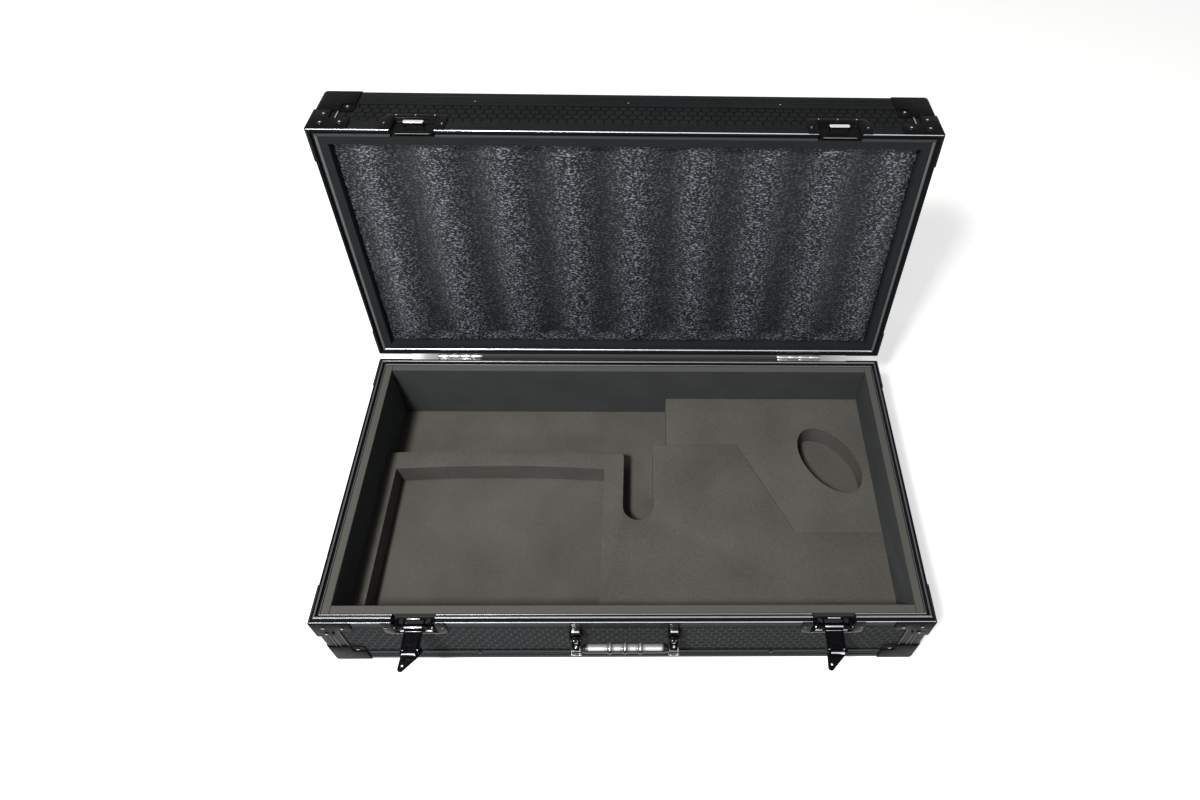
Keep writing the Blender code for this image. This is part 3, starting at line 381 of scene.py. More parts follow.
def join(name, pieces):
    """Several pieces as one object."""
    take(pieces[0])
    for piece in pieces[1:]:
        piece.select_set(True)
    bpy.ops.object.join()
    pieces[0].name = name
    return pieces[0]


def cut(piece, tool):
    """Take a tool's shape out of a piece, and throw the tool away."""
    modify(piece, "BOOLEAN", object=tool, operation="DIFFERENCE", solver="EXACT")
    bpy.data.objects.remove(tool)
    return piece


def round_edges(piece, width, segments=2, angle=30):
    """Round every edge that is sharper than an angle."""
    return modify(piece, "BEVEL", width=width, segments=segments, limit_method="ANGLE",
                  angle_limit=math.radians(angle), harden_normals=False)


def shade(piece, angle=30):
    """Smooth shading on round stretches, sharp edges elsewhere."""
    take(piece)
    bpy.ops.object.shade_smooth_by_angle(angle=math.radians(angle))
    return piece


def hand_over(piece, name, body, finish, nodes=()):
    """Name a finished piece, paint it, let it ride on its body and hide the solids it stands for."""
    piece.name = name
    piece.data.name = name
    piece.data.materials.clear()
    piece.data.materials.append(finish)
    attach(piece, body)
    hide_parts(*nodes)
    return piece


print("helpers: copy_piece, join, cut, round_edges, shade, hand_over")

# %% [markdown]
# ## Shared surface effects
#
# Nearly every finish needs the same two things: a fine grain, and a slow change of tone over the
# surface, as from dust and handling. Each is one node group, built once. A group only puts out
# numbers, and each material decides where they go.


# %% A group for grain
def new_group(name, sizes, results):
    """An empty shader group with named number inputs and outputs."""
    group = bpy.data.node_groups.new(name, "ShaderNodeTree")
    for label, value in sizes:
        socket = group.interface.new_socket(label, in_out="INPUT", socket_type="NodeSocketFloat")
        socket.default_value = value
    for label in results:
        group.interface.new_socket(label, in_out="OUTPUT", socket_type="NodeSocketFloat")
    return group, group.nodes.new("NodeGroupInput"), group.nodes.new("NodeGroupOutput")


def build_grain():
    """Fine noise for bump and tone, at a grain size in metres."""
    group, given, result = new_group("grain", [("Size", 1 * mm), ("Sharpness", 0.5)], ["Height", "Tone"])
    nodes, links = group.nodes, group.links
    where = add_node(nodes, "TexCoord")
    scale = add_node(nodes, "Math", {0: 1}, operation="DIVIDE")
    links.new(given.outputs["Size"], scale.inputs[1])
    noise = add_node(nodes, "TexNoise", {"Detail": 3})
    links.new(where.outputs["Object"], noise.inputs["Vector"])
    links.new(scale.outputs[0], noise.inputs["Scale"])
    links.new(given.outputs["Sharpness"], noise.inputs["Roughness"])
    links.new(noise.outputs["Fac"], result.inputs["Height"])
    spread = add_node(nodes, "MapRange", {"From Min": 0.3, "From Max": 0.7})
    links.new(noise.outputs["Fac"], spread.inputs["Value"])
    links.new(spread.outputs["Result"], result.inputs["Tone"])
    return group


def build_mottle():
    """Slow cloudy change of tone, with faint rubbed streaks."""
    group, given, result = new_group("mottle", [("Size", 80 * mm), ("Streaks", 0.3)], ["Tone", "Streak"])
    nodes, links = group.nodes, group.links
    where = add_node(nodes, "TexCoord")
    scale = add_node(nodes, "Math", {0: 1}, operation="DIVIDE")
    links.new(given.outputs["Size"], scale.inputs[1])
    cloud = add_node(nodes, "TexNoise", {"Detail": 4})
    links.new(where.outputs["Object"], cloud.inputs["Vector"])
    links.new(scale.outputs[0], cloud.inputs["Scale"])
    spread = add_node(nodes, "MapRange", {"From Min": 0.3, "From Max": 0.7})
    links.new(cloud.outputs["Fac"], spread.inputs["Value"])
    links.new(spread.outputs["Result"], result.inputs["Tone"])
    stretch = add_node(nodes, "Mapping", {"Rotation": (0.3, 0.2, 0.7), "Scale": (12, 180, 60)})
    links.new(where.outputs["Object"], stretch.inputs["Vector"])
    rub = add_node(nodes, "TexNoise", {"Scale": 1, "Detail": 2})
    links.new(stretch.outputs["Vector"], rub.inputs["Vector"])
    crest = add_node(nodes, "MapRange", {"From Min": 0.62, "From Max": 0.75})
    links.new(rub.outputs["Fac"], crest.inputs["Value"])
    part = add_node(nodes, "Math", operation="MULTIPLY")
    links.new(crest.outputs["Result"], part.inputs[0])
    links.new(given.outputs["Streaks"], part.inputs[1])
    links.new(part.outputs[0], result.inputs["Streak"])
    return group


grain_group = build_grain()
mottle_group = build_mottle()
print("groups:", grain_group.name, mottle_group.name)

# %% [markdown]
# ## Finishes
#
# One function makes every finish: two close colours mixed by the mottle, the grain as bump and
# as a change of roughness. What differs between foam, coated steel and bright metal is the
# numbers. The black finishes mirror very little. Bright metal is painted over them in a later
# cell, as painted highlights on their edges.


# %% The finish maker
def finish(name, colours, roughness, metallic=0.0, grain=(0.6 * mm, 0.1 * mm), mottle=80 * mm,
           rough_spread=0.08, streaks=0.2, specular=0.5, fineness=0.4):
    """A material of two close colours, with a grain of some size and depth."""
    material = bpy.data.materials.new(name)
    material.use_nodes = True
    nodes, links = material.node_tree.nodes, material.node_tree.links
    shader = nodes["Principled BSDF"]
    shader.inputs["Metallic"].default_value = metallic
    shader.inputs["Specular IOR Level"].default_value = specular
    tone = add_node(nodes, "Group", {"Size": mottle, "Streaks": streaks}, node_tree=mottle_group)
    fine = add_node(nodes, "Group", {"Size": grain[0]}, node_tree=grain_group)
    blend = add_node(nodes, "Mix", {"A": (*colours[0], 1), "B": (*colours[1], 1)}, data_type="RGBA")
    share = add_node(nodes, "Mix", {"Factor": fineness}, data_type="FLOAT")
    links.new(tone.outputs["Tone"], share.inputs["A"])
    links.new(fine.outputs["Tone"], share.inputs["B"])
    links.new(share.outputs["Result"], blend.inputs["Factor"])
    links.new(blend.outputs["Result"], shader.inputs["Base Color"])
    gloss = add_node(nodes, "MapRange",
                     {"To Min": roughness - rough_spread, "To Max": roughness + rough_spread})
    links.new(share.outputs["Result"], gloss.inputs["Value"])
    rubbed = add_node(nodes, "Math", operation="SUBTRACT", use_clamp=True)
    links.new(gloss.outputs["Result"], rubbed.inputs[0])
    links.new(tone.outputs["Streak"], rubbed.inputs[1])
    links.new(rubbed.outputs[0], shader.inputs["Roughness"])
    bump = add_node(nodes, "Bump", {"Distance": grain[1], "Strength": 1})
    links.new(fine.outputs["Height"], bump.inputs["Height"])
    links.new(bump.outputs["Normal"], shader.inputs["Normal"])
    return material


print("finish maker ready")

# %% The finishes
block_foam = finish("grey block foam", [(0.066, 0.063, 0.057), (0.126, 0.120, 0.110)], 0.95,
                    grain=(1.7 * mm, 0.6 * mm), mottle=90 * mm, streaks=0.0, specular=0.1, fineness=0.6)
tray_lining = finish("grey lining foam", [(0.040, 0.044, 0.044), (0.060, 0.066, 0.066)], 0.95,
                     grain=(1.3 * mm, 0.5 * mm), mottle=70 * mm, streaks=0.0, specular=0.1, fineness=0.5)
lid_lining = finish("dark lining foam", [(0.012, 0.014, 0.015), (0.020, 0.022, 0.024)], 0.95,
                    grain=(1.3 * mm, 0.5 * mm), mottle=70 * mm, streaks=0.0, specular=0.1, fineness=0.5)
anodised = finish("black anodised aluminium", [(0.006, 0.007, 0.008), (0.013, 0.014, 0.016)], 0.28,
                  grain=(0.5 * mm, 0.02 * mm), rough_spread=0.05, streaks=0.08, specular=0.02)
coated_steel = finish("black coated steel", [(0.003, 0.003, 0.003), (0.007, 0.007, 0.007)], 0.38,
                      grain=(0.9 * mm, 0.15 * mm), rough_spread=0.08, streaks=0.12, specular=0.02)
dish_steel = finish("glossy coated steel", [(0.003, 0.003, 0.003), (0.007, 0.007, 0.007)], 0.20,
                    grain=(1.2 * mm, 0.05 * mm), rough_spread=0.06, streaks=0.10, specular=0.03)
latch_steel = finish("black plated steel", [(0.002, 0.002, 0.003), (0.005, 0.005, 0.006)], 0.24,
                     grain=(0.7 * mm, 0.04 * mm), rough_spread=0.06, streaks=0.10, specular=0.03)
rivet_steel = finish("black rivet", [(0.004, 0.004, 0.004), (0.008, 0.008, 0.008)], 0.22,
                     grain=(0.5 * mm, 0.03 * mm), rough_spread=0.05, streaks=0.1, specular=0.1)
bright_zinc = finish("bright zinc", [(0.62, 0.64, 0.66), (0.76, 0.77, 0.78)], 0.25, 1.0,
                     grain=(0.7 * mm, 0.03 * mm), rough_spread=0.07, streaks=0.1)
chrome = finish("chrome plate", [(0.72, 0.73, 0.75), (0.82, 0.82, 0.83)], 0.12, 1.0,
                grain=(0.6 * mm, 0.01 * mm), rough_spread=0.04, streaks=0.04)
hinge_metal = finish("nickel hinge", [(0.52, 0.52, 0.54), (0.66, 0.66, 0.67)], 0.26, 1.0,
                     grain=(0.5 * mm, 0.03 * mm), rough_spread=0.08, streaks=0.12)
print("finishes:", len(bpy.data.materials))


# %% [markdown]
# ## Finishes that change over a piece
#
# The laminate has hexagons pressed into it. Their relief is modelled, and each point carries a
# number that says how deep it lies. The tray's finish reads it to paint a pale highlight into the
# grooves, and the lid's to paint shade into them. In the same way the points of black metal say
# where a painted highlight of bare metal goes, those of the lining where it was sawn, and those of
# the grip where it is silver and where shade is painted on it.


# %% Finishes with a mask
def paint_over(material, attribute, colour, metallic=None):
    """Let a point attribute mix another colour, and another metalness, into a finish."""
    nodes, links = material.node_tree.nodes, material.node_tree.links
    shader = nodes["Principled BSDF"]
    base = shader.inputs["Base Color"].links[0].from_socket
    mask = add_node(nodes, "Attribute", attribute_name=attribute)
    mixed = add_node(nodes, "Mix", {"B": (*colour, 1)}, data_type="RGBA")
    links.new(mask.outputs["Fac"], mixed.inputs["Factor"])
    links.new(base, mixed.inputs["A"])
    links.new(mixed.outputs["Result"], shader.inputs["Base Color"])
    if metallic is not None:
        metal = add_node(nodes, "MapRange",
                         {"To Min": shader.inputs["Metallic"].default_value, "To Max": metallic})
        links.new(mask.outputs["Fac"], metal.inputs["Value"])
        links.new(metal.outputs["Result"], shader.inputs["Metallic"])
    return material


# Painted light: the tray's grooves are painted pale, a painted highlight of their lit sides, and the lid's
# grooves are painted black, a painted shade.
tray_board = paint_over(
    finish("tray board", [(0.016, 0.018, 0.019), (0.024, 0.027, 0.028)], 0.45, grain=(0.8 * mm, 0.08 * mm),
           mottle=60 * mm, rough_spread=0.06, streaks=0.05, specular=0.005), "groove", (0.070, 0.075, 0.076))
# The lid's board is the same laminate as the tray's, written darker as painted shade.
lid_board = paint_over(
    finish("lid board", [(0.012, 0.013, 0.013), (0.020, 0.0215, 0.0215)], 0.45, grain=(0.8 * mm, 0.08 * mm),
           mottle=60 * mm, rough_spread=0.06, streaks=0.05, specular=0.005), "groove", (0.001, 0.001, 0.001))
board_finishes = {"tray": tray_board, "lid": lid_board}
# Painted highlight: bright metal is painted onto the black finishes where their ridges would catch the lamps.
for black_metal in (anodised, dish_steel, latch_steel, rivet_steel):
    paint_over(black_metal, "painted_highlight", (0.86, 0.88, 0.92), 1.0)
paint_over(tray_lining, "cut", (0.092, 0.090, 0.083))
# The grip's silver upper face sits over a black underside that is a painted reflection, with painted shade
# beside its ridges.
grip_silver = paint_over(
    finish("silvered grip", [(0.005, 0.005, 0.006), (0.010, 0.010, 0.011)], 0.24, grain=(0.6 * mm, 0.02 * mm),
           rough_spread=0.05, streaks=0.1, specular=0.2), "silver", (0.62, 0.63, 0.64), 0.6)
print("made", tray_board.name, "and", grip_silver.name)


# %% Marking points
def mark(piece, label, measure):
    """Give each point of a piece a number that a finish can read."""
    layer = piece.data.attributes.get(label) or piece.data.attributes.new(label, "FLOAT", "POINT")
    for vert, value in zip(piece.data.vertices, layer.data):
        value.value = min(1, max(0, measure(vert.co)))
    return piece


print("helper: mark")


# %% [markdown]
# ## The wave foam's finish
#
# Open-cell foam is dark. Its glints are painted: a noise drawn out sideways gives both the bump
# and pale flecks that stand in for glints. The points of the pad say where a wave is hollow, and
# the flecks are painted duller there as painted shade, and paler on the crests as painted light.


# %% Wave foam finish
def build_wave_finish():
    """Dark open-cell foam with painted glints, painted paler on its crests and darker in its hollows."""
    material = bpy.data.materials.new("wave foam")
    material.use_nodes = True
    nodes, links = material.node_tree.nodes, material.node_tree.links
    shader = nodes["Principled BSDF"]
    shader.inputs["Specular IOR Level"].default_value = 0.3
    shader.inputs["Roughness"].default_value = 0.5
    where = add_node(nodes, "TexCoord")
    flat = add_node(nodes, "Mapping", {"Scale": (1 / (4.4 * mm), 1 / (2.4 * mm), 1 / (2.1 * mm))})
    links.new(where.outputs["Object"], flat.inputs["Vector"])
    torn = add_node(nodes, "TexNoise", {"Scale": 1, "Detail": 3, "Roughness": 0.6})
    links.new(flat.outputs["Vector"], torn.inputs["Vector"])
    bump = add_node(nodes, "Bump", {"Strength": 1, "Distance": 1.6 * mm})
    links.new(torn.outputs["Fac"], bump.inputs["Height"])
    links.new(bump.outputs["Normal"], shader.inputs["Normal"])
    # Painted glints: pale flecks where the noise peaks.
    painted_glints = add_node(nodes, "MapRange", {"From Min": 0.52, "From Max": 0.62})
    links.new(torn.outputs["Fac"], painted_glints.inputs["Value"])
    # Painted light and shade: the flecks are paler on the crests and darker in the hollows.
    hollow = add_node(nodes, "Attribute", attribute_name="hollow")
    crest_light_hollow_shade = add_node(nodes, "Mix", {"A": (0.25, 0.26, 0.31, 1), "B": (0.055, 0.059, 0.068, 1)},
                    data_type="RGBA")
    links.new(hollow.outputs["Fac"], crest_light_hollow_shade.inputs["Factor"])
    colour = add_node(nodes, "Mix", {"A": (0.003, 0.004, 0.005, 1)}, data_type="RGBA")
    links.new(painted_glints.outputs["Result"], colour.inputs["Factor"])
    links.new(crest_light_hollow_shade.outputs["Result"], colour.inputs["B"])
    links.new(colour.outputs["Result"], shader.inputs["Base Color"])
    return material


wave_finish = build_wave_finish()
print("made", wave_finish.name)

# %% [markdown]
# ## Foam in the tray
#
# The tray holds a floor sheet, strips along its four walls and two fitted blocks, all cut from
# firm closed-cell foam. Their outlines are already in the working model, so each is a copy of
# its solid, with its loose triangles merged, its flat sides made whole again, and its cut edges
# softened a little, as a knife leaves them.


# %% Tray foam
def soften_foam(node, body, paint, is_cut, edge=0.7 * mm):
    """A foam piece cut to the outline of its solid, with soft edges."""
    piece = copy_piece(frame["nodes"][node], node + "_cut")
    pick_all(piece)
    bpy.ops.mesh.remove_doubles(threshold=weld)
    bpy.ops.mesh.dissolve_limited(angle_limit=math.radians(1))
    leave()
    round_edges(piece, edge, angle=40)
    shade(piece, 24)
    mark(piece, "cut", is_cut)
    hand_over(piece, node + "_foam", body, paint, [node])
    return piece


lining_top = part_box("tray_front_lining")[1].z


def cut_edge(co):
    """1 at points on the sawn upper edge of the tray's lining, 0 elsewhere."""
    return 1 if co.z > lining_top - 0.05 * mm else 0


for node in ("tray_floor_foam", "tray_main_foam", "tray_corner_foam"):
    foam = soften_foam(node, "tray", block_foam, lambda co: 0)
    print(foam.name, len(foam.data.polygons), "faces")
for side in ("front", "back", "left", "right"):
    foam = soften_foam(f"tray_{side}_lining", "tray", tray_lining, cut_edge)
    print(foam.name, len(foam.data.polygons), "faces")
foam = soften_foam("lid_lining", "lid", lid_lining, lambda co: 0)
print(foam.name, len(foam.data.polygons), "faces")

# %% [markdown]
# ## The wave foam in the lid
#
# The pad is a grid of small faces. Its points are raised by a cosine across the case, which
# makes the waves, and by two layers of noise, which make the torn cells. The border is then
# drawn back to the board and closed, so the pad is one solid piece.


# %% Wave foam
wave_pitch = 96.7 * mm
wave_shift = 11 * mm
wave_depth = 12 * mm
calm_border = 18 * mm
cell_size = 2.1 * mm
cell_rise = 1.1 * mm


def build_wave_pad():
    """The lid's pad, with its waves and its open cells."""
    node = frame["nodes"]["lid_wave_foam"]
    to_lid = lid_place.inverted()
    corners = [to_lid @ vert.co for vert in node.data.vertices]
    half_x, half_y = max(c.x for c in corners), max(c.y for c in corners)
    low, crest = min(c.z for c in corners), max(c.z for c in corners)
    columns, rows = round(2 * half_x / cell_size), round(2 * half_y / cell_size)
    bpy.ops.object.select_all(action="DESELECT")
    bpy.ops.mesh.primitive_grid_add(x_subdivisions=columns, y_subdivisions=rows, size=1,
                                    location=(0, 0, crest), scale=(1, 1, 1))
    pad = bpy.context.object
    pad.scale = (2 * half_x, 2 * half_y, 1)
    settle(pad)
    for vert in pad.data.vertices:
        x, y = vert.co.x, vert.co.y
        inward = max(0, min(half_x - abs(x), half_y - abs(y)))
        calm = min(1, inward / calm_border)
        wave = math.cos(2 * math.pi * (x - wave_shift) / wave_pitch) / 2 - 1 / 2
        wave = calm * wave - (1 - calm) * 0.35
        coarse = noise.noise(Vector((x, y, 0)) / (3.4 * mm))
        cells = coarse + noise.noise(Vector((y, x, 1)) / (1.7 * mm)) / 2
        roll = 1 - min(1, inward / (5 * mm))
        vert.co.z = crest + wave_depth * wave + cell_rise * (cells - 1) / 2 - 3 * mm * roll * roll
    # How hollow each point lies, for the painted shade of the wave foam's finish.
    mark(pad, "hollow", lambda co: (crest - cell_rise / 2 - co.z) / wave_depth)
    pick(pad, "VERT", lambda co: max(abs(co.x) - half_x, abs(co.y) - half_y) > -weld)
    bpy.ops.mesh.select_mode(type="EDGE")
    bpy.ops.mesh.extrude_edges_move(TRANSFORM_OT_translate={"value": (0, 0, -20 * mm)})
    bpy.ops.transform.resize(value=(1, 1, 0), center_override=(0, 0, low))
    bpy.ops.mesh.edge_face_add()
    leave()
    pad.matrix_world = lid_place
    settle(pad)
    shade(pad, 80)
    hand_over(pad, "wave_pad", "lid", wave_finish, ["lid_wave_foam"])
    return pad


wave_pad = build_wave_pad()
print(wave_pad.name, len(wave_pad.data.polygons), "faces")

# %% [markdown]
# ## Hexagon boards
#
# The walls are laminated boards with a hexagon pattern pressed into them. One cell is a six-sided
# circle whose inset top is lifted out of its groove. A second cell beside it makes the offset
# row, two Array modifiers spread the pair over the board, and four bisects trim the sheet. Its
# border is then drawn back and closed, so each board is a solid plate.

# %% Hexagon boards
cell_across = 13.4 * mm
groove_width = 2.8 * mm
groove_depth = 0.6 * mm


def local_box(half, node):
    """A node's lowest and highest corners in its half's own directions."""
    back = places[half].inverted()
    corners = [back @ vert.co for vert in frame["nodes"][node].data.vertices]
    return (Vector([min(c[i] for c in corners) for i in range(3)]),
            Vector([max(c[i] for c in corners) for i in range(3)]))


def pressed_board(width, height, thickness):
    """A plate with hexagons on its upper face, which lies at z = 0 round the origin."""
    corner_radius = cell_across / math.sqrt(3)
    columns = math.ceil(width / cell_across) + 2
    rows = math.ceil(height / (3 * corner_radius)) + 2
    bpy.ops.object.select_all(action="DESELECT")
    bpy.ops.mesh.primitive_circle_add(vertices=6, radius=corner_radius, fill_type="NGON",
                                      location=(0, 0, -groove_depth))
    board = settle(bpy.context.object)
    pick(board, "FACE", lambda centre, normal: True)
    bpy.ops.mesh.inset(thickness=groove_width / 2)
    bpy.ops.transform.translate(value=(0, 0, groove_depth))
    bpy.ops.mesh.select_all(action="SELECT")
    bpy.ops.mesh.duplicate_move(
        TRANSFORM_OT_translate={"value": (cell_across / 2, 1.5 * corner_radius, 0)})
    leave()
    modify(board, "ARRAY", use_relative_offset=False, use_constant_offset=True, count=columns,
           constant_offset_displace=(cell_across, 0, 0))
    modify(board, "ARRAY", use_relative_offset=False, use_constant_offset=True, count=rows,
           constant_offset_displace=(0, 3 * corner_radius, 0))
    board.location = (-columns * cell_across / 2, -rows * 1.5 * corner_radius, 0)
    settle(board)
    pick_all(board)
    bpy.ops.mesh.remove_doubles(threshold=weld)
    for side in (Vector((1, 0, 0)), Vector((-1, 0, 0)), Vector((0, 1, 0)), Vector((0, -1, 0))):
        reach = abs(side.x) * width / 2 + abs(side.y) * height / 2
        bpy.ops.mesh.select_all(action="SELECT")
        bpy.ops.mesh.bisect(plane_co=side * reach, plane_no=side, clear_outer=True)
    bpy.ops.mesh.select_mode(type="EDGE")
    bpy.ops.mesh.select_all(action="DESELECT")
    bpy.ops.mesh.select_non_manifold(extend=False, use_wire=False, use_multi_face=False,
                                     use_non_contiguous=False, use_verts=False)
    bpy.ops.mesh.extrude_edges_move(TRANSFORM_OT_translate={"value": (0, 0, -thickness)})
    bpy.ops.transform.resize(value=(1, 1, 0), center_override=(0, 0, -thickness))
    bpy.ops.mesh.edge_face_add()
    bpy.ops.mesh.select_all(action="SELECT")
    bpy.ops.mesh.normals_make_consistent(inside=False)
    leave()
    depth = board.data.attributes.new("groove", "FLOAT", "POINT")
    for vert, value in zip(board.data.vertices, depth.data):
        value.value = min(1, max(0, -vert.co.z / groove_depth)) if vert.co.z > -thickness / 2 else 0
    return board


def stand_board(board, outward, centre):
    """Turn a board so that its pressed face looks outward, with its rows level."""
    up = Vector((0, 0, 1))
    across = up.cross(outward) if abs(outward.z) < 0.5 else Vector((1, 0, 0))
    rise = outward.cross(across)
    turn = Matrix((across, rise, outward)).transposed().to_4x4()
    board.matrix_world = Matrix.Translation(centre) @ turn
    return settle(board)


def build_board(half, name, outward):
    """One board of a half, at its solid's place."""
    node = f"{half}_{name}_panel"
    low, high = local_box(half, node)
    size, centre = high - low, (low + high) / 2
    axis = max(range(3), key=lambda i: abs(outward[i]))
    centre[axis] = high[axis] if outward[axis] > 0 else low[axis]
    width, height = [size[i] for i in range(3) if i != axis]
    board = stand_board(pressed_board(width, height, size[axis]), outward, centre)
    if name == "front":
        for x in (-latch_x, latch_x):
            cut(board, block("notch", (x - notch_half, low.y - 10 * mm, notch_low[half]),
                             (x + notch_half, high.y + 10 * mm, heights[half] + 10 * mm)))
    board.matrix_world = places[half]
    settle(board)
    return hand_over(board, f"{half}_{name}_board", half, board_finishes[half], [node])


arm_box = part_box("latch_arm_right")
latch_x = arm_box[0].x + (arm_box[1] - arm_box[0]).x / 2
tub_width = 60 * mm
tub_drop = 31.5 * mm
dish_sheet = 1.2 * mm
notch_half = tub_width / 2 + dish_sheet + seat_gap
notch_low = {half: heights[half] - tub_drop - dish_sheet - seat_gap for half in places}
fronts = {"tray": -1, "lid": 1}
for half in places:
    ahead = fronts[half]
    for name, outward in (("front", (0, ahead, 0)), ("back", (0, -ahead, 0)), ("left", (-1, 0, 0)),
                          ("right", (1, 0, 0)), ("bottom" if half == "tray" else "top", (0, 0, -1))):
        board = build_board(half, name, Vector(outward))
        print(board.name, len(board.data.polygons), "faces")

# %% [markdown]
# ## Edge angles
#
# Black aluminium angles run round the base and up the corners. Each is drawn as its section: a
# rounded fold, and two legs whose outer faces have a groove with two beads and a lip. The beads
# are what draw the thin bright lines, helped by a painted highlight on them. The section is given
# its length, and the ends are mitred by a bisect that closes what it opens.

# %% Edge angles
leg = 34.5 * mm
fold = 4.6 * mm
end_trim = 12 * mm
flat_end = 12.9 * mm
bead_places = (15 * mm, 21.6 * mm)
bead_width = 2.4 * mm
lip_width = 2.2 * mm
groove_floor = 0.55 * mm


def bead(centre, width, top=0.0):
    """A rounded bead in a leg's face: points of (distance from the fold, depth)."""
    return [(centre - width / 2 * math.cos(a), groove_floor - (groove_floor - top) * math.sin(a))
            for a in (math.pi * step / 6 for step in range(7))]


def leg_face(length, start):
    """The outer face of a leg, from where its fold ends to its tip."""
    face = [(start, 0), (flat_end - 0.4 * mm, 0), (flat_end, groove_floor)]
    for place in bead_places:
        face += bead(place, bead_width)
    face += bead(length - lip_width / 2, lip_width)
    return face


def angle_section():
    """An angle's section as (inward, upward), with its fold at the origin."""
    upright = leg_face(leg, fold)
    corner = arc((fold, fold), fold, 180, 270, 6)[1:-1]
    tip = sheet + 0.05 * mm
    section = [(depth, along) for along, depth in reversed(upright)]
    section += corner
    section += [(along, depth) for along, depth in upright]
    section += [(leg, tip)] + arc((fold, fold), fold - tip, 270, 180, 4) + [(tip, leg)]
    return section


def bar(name, section, length):
    """A bar along X with the section's first number inward, along Y, and its second up."""
    piece = outline(name, [section], length)
    turn = Matrix(((0, 0, 1, 0), (1, 0, 0, 0), (0, 1, 0, 0), (0, 0, 0, 1)))
    piece.matrix_world = turn @ Matrix.Translation((0, 0, -length / 2))
    return settle(piece)


def trim(piece, point, outward):
    """Cut a piece off at a plane and close the cut."""
    pick_all(piece)
    bpy.ops.mesh.bisect(plane_co=point, plane_no=outward, clear_outer=True, use_fill=True)
    leave()
    return piece


def mitred_frame(name, section, reach_x, reach_y):
    """Four bars round a rectangle, mitred where they meet."""
    bars = []
    for half_length, reach, quarter in ((reach_x, reach_y, 0), (reach_y, reach_x, 1)):
        side = bar(name, section, 2 * half_length)
        side.location = (0, -reach, 0)
        settle(side)
        joint = half_length - 0.05 * mm
        trim(side, (joint, -reach, 0), (1, 1, 0))
        trim(side, (-joint, -reach, 0), (-1, 1, 0))
        for turn in (quarter, quarter + 2):
            place = Matrix.Rotation(turn * math.pi / 2, 4, "Z")
            bars.append(copy_piece(side, f"{name}_{turn}", place))
        bpy.data.objects.remove(side)
    return bars


# Painted highlight on the angles' beads, stronger on the lid than on the tray.
bead_highlight = {"tray": 0.10, "lid": 0.40}


def angle_highlight(co, half):
    """How much painted highlight an angle's beads and lips get."""
    near = sorted((face_x - abs(co.x), face_y - abs(co.y), co.z - edge_face))
    on_face = near[0] < 0.2 * mm
    beads = min(abs(near[1] - centre) for centre in (*bead_places, leg - lip_width / 2))
    return bead_highlight[half] if on_face and beads < 0.9 * mm else 0


def build_edge_frame(half):
    """The base angles and the corner posts of one half."""
    bars = mitred_frame(f"{half}_angle", angle_section(), face_x, face_y)
    for number, piece in enumerate(bars):
        along = Vector((1, 0, 0)) if number < 2 else Vector((0, 1, 0))
        reach = (face_x if number < 2 else face_y) - end_trim
        for side in (-1, 1):
            trim(piece, along * reach * side, along * side)
        piece.location = (0, 0, edge_face)
        settle(piece)
    low, high = edge_face + leg + 0.2 * mm, heights[half] - rim_leg - seat_gap
    post = outline("post", [angle_section()], high - low)
    for quarter in range(4):
        turn = Matrix.Rotation(quarter * math.pi / 2, 4, "Z")
        signs = turn @ Vector((-1, -1, 0))
        place = Matrix.Translation((signs.x * face_x, signs.y * face_y, low)) @ turn
        bars.append(copy_piece(post, "post", place))
    bpy.data.objects.remove(post)
    edges = join(f"{half}_edge_angles", bars)
    mark(edges, "painted_highlight", lambda co: angle_highlight(co, half))
    edges.matrix_world = places[half]
    settle(edges)
    shade(edges, 40)
    return hand_over(edges, f"{half}_edge_angles", half, anodised, [f"{half}_edge_frame"])


rim_leg = 22.5 * mm
for half in places:
    edges = build_edge_frame(half)
    print(edges.name, len(edges.data.polygons), "faces")

# %% [markdown]
# ## Rims
#
# Where the halves meet, an extrusion caps the boards. The tray's has a tongue between two
# valleys, and the lid's has the groove for it. Their outer corners and lips are round, because
# extruded edges are, and because a sharp corner would mirror no lamp.

# %% Rim sections
rim_width = 13 * mm
rim_inner_leg = 10 * mm
rim_web = 5.5 * mm
board_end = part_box("tray_front_panel")[1].y + face_y
tongue = (5.0 * mm, 7.8 * mm, 3.5 * mm)
valley = 1.5 * mm
lip = 1.5 * mm
corner_round = 1.1 * mm


def rim_leg_face():
    """The rim's outer leg, from its tip up to the round corner, as (inward, up from the rim plane)."""
    face = [(groove_floor, -rim_leg)]
    for centre, width in ((rim_leg - lip_width / 2, lip_width), (14.9 * mm, bead_width)):
        face += [(depth, -along) for along, depth in reversed(bead(centre, width))]
    face += [(groove_floor, -flat_end), (0, 0.4 * mm - flat_end)]
    return face + [(0, -2.4 * mm), (0.2 * mm, -2.2 * mm), (0.2 * mm, -1.6 * mm)]


def crown(start, end, level, drop):
    """A round-topped lip between two insets, as points of an arc."""
    middle, half = (start + end) / 2, (end - start) / 2
    return [(middle - half * math.cos(a), level - drop + drop * math.sin(a))
            for a in (math.pi * step / 6 for step in range(7))]


def rim_inside():
    """The rest of the section: the inner leg, the web over the boards and the outer leg's back."""
    leg_start = board_end + seat_gap
    return [(rim_width, -rim_inner_leg), (leg_start, -rim_inner_leg), (leg_start, -rim_web),
            (sheet, -rim_web), (sheet, -rim_leg)]


tray_section = rim_leg_face() + arc((corner_round, -corner_round), corner_round, 180, 90, 5)
tray_section += [(lip, 0), (lip + 0.3 * mm, -valley), (tongue[0], -valley)]
tray_section += crown(tongue[0], tongue[1], tongue[2], 0.9 * mm)
tray_section += [(tongue[1], -valley), (rim_width - 2.2 * mm, -valley)]
tray_section += crown(rim_width - 2.2 * mm, rim_width, 0, 0.9 * mm) + rim_inside()

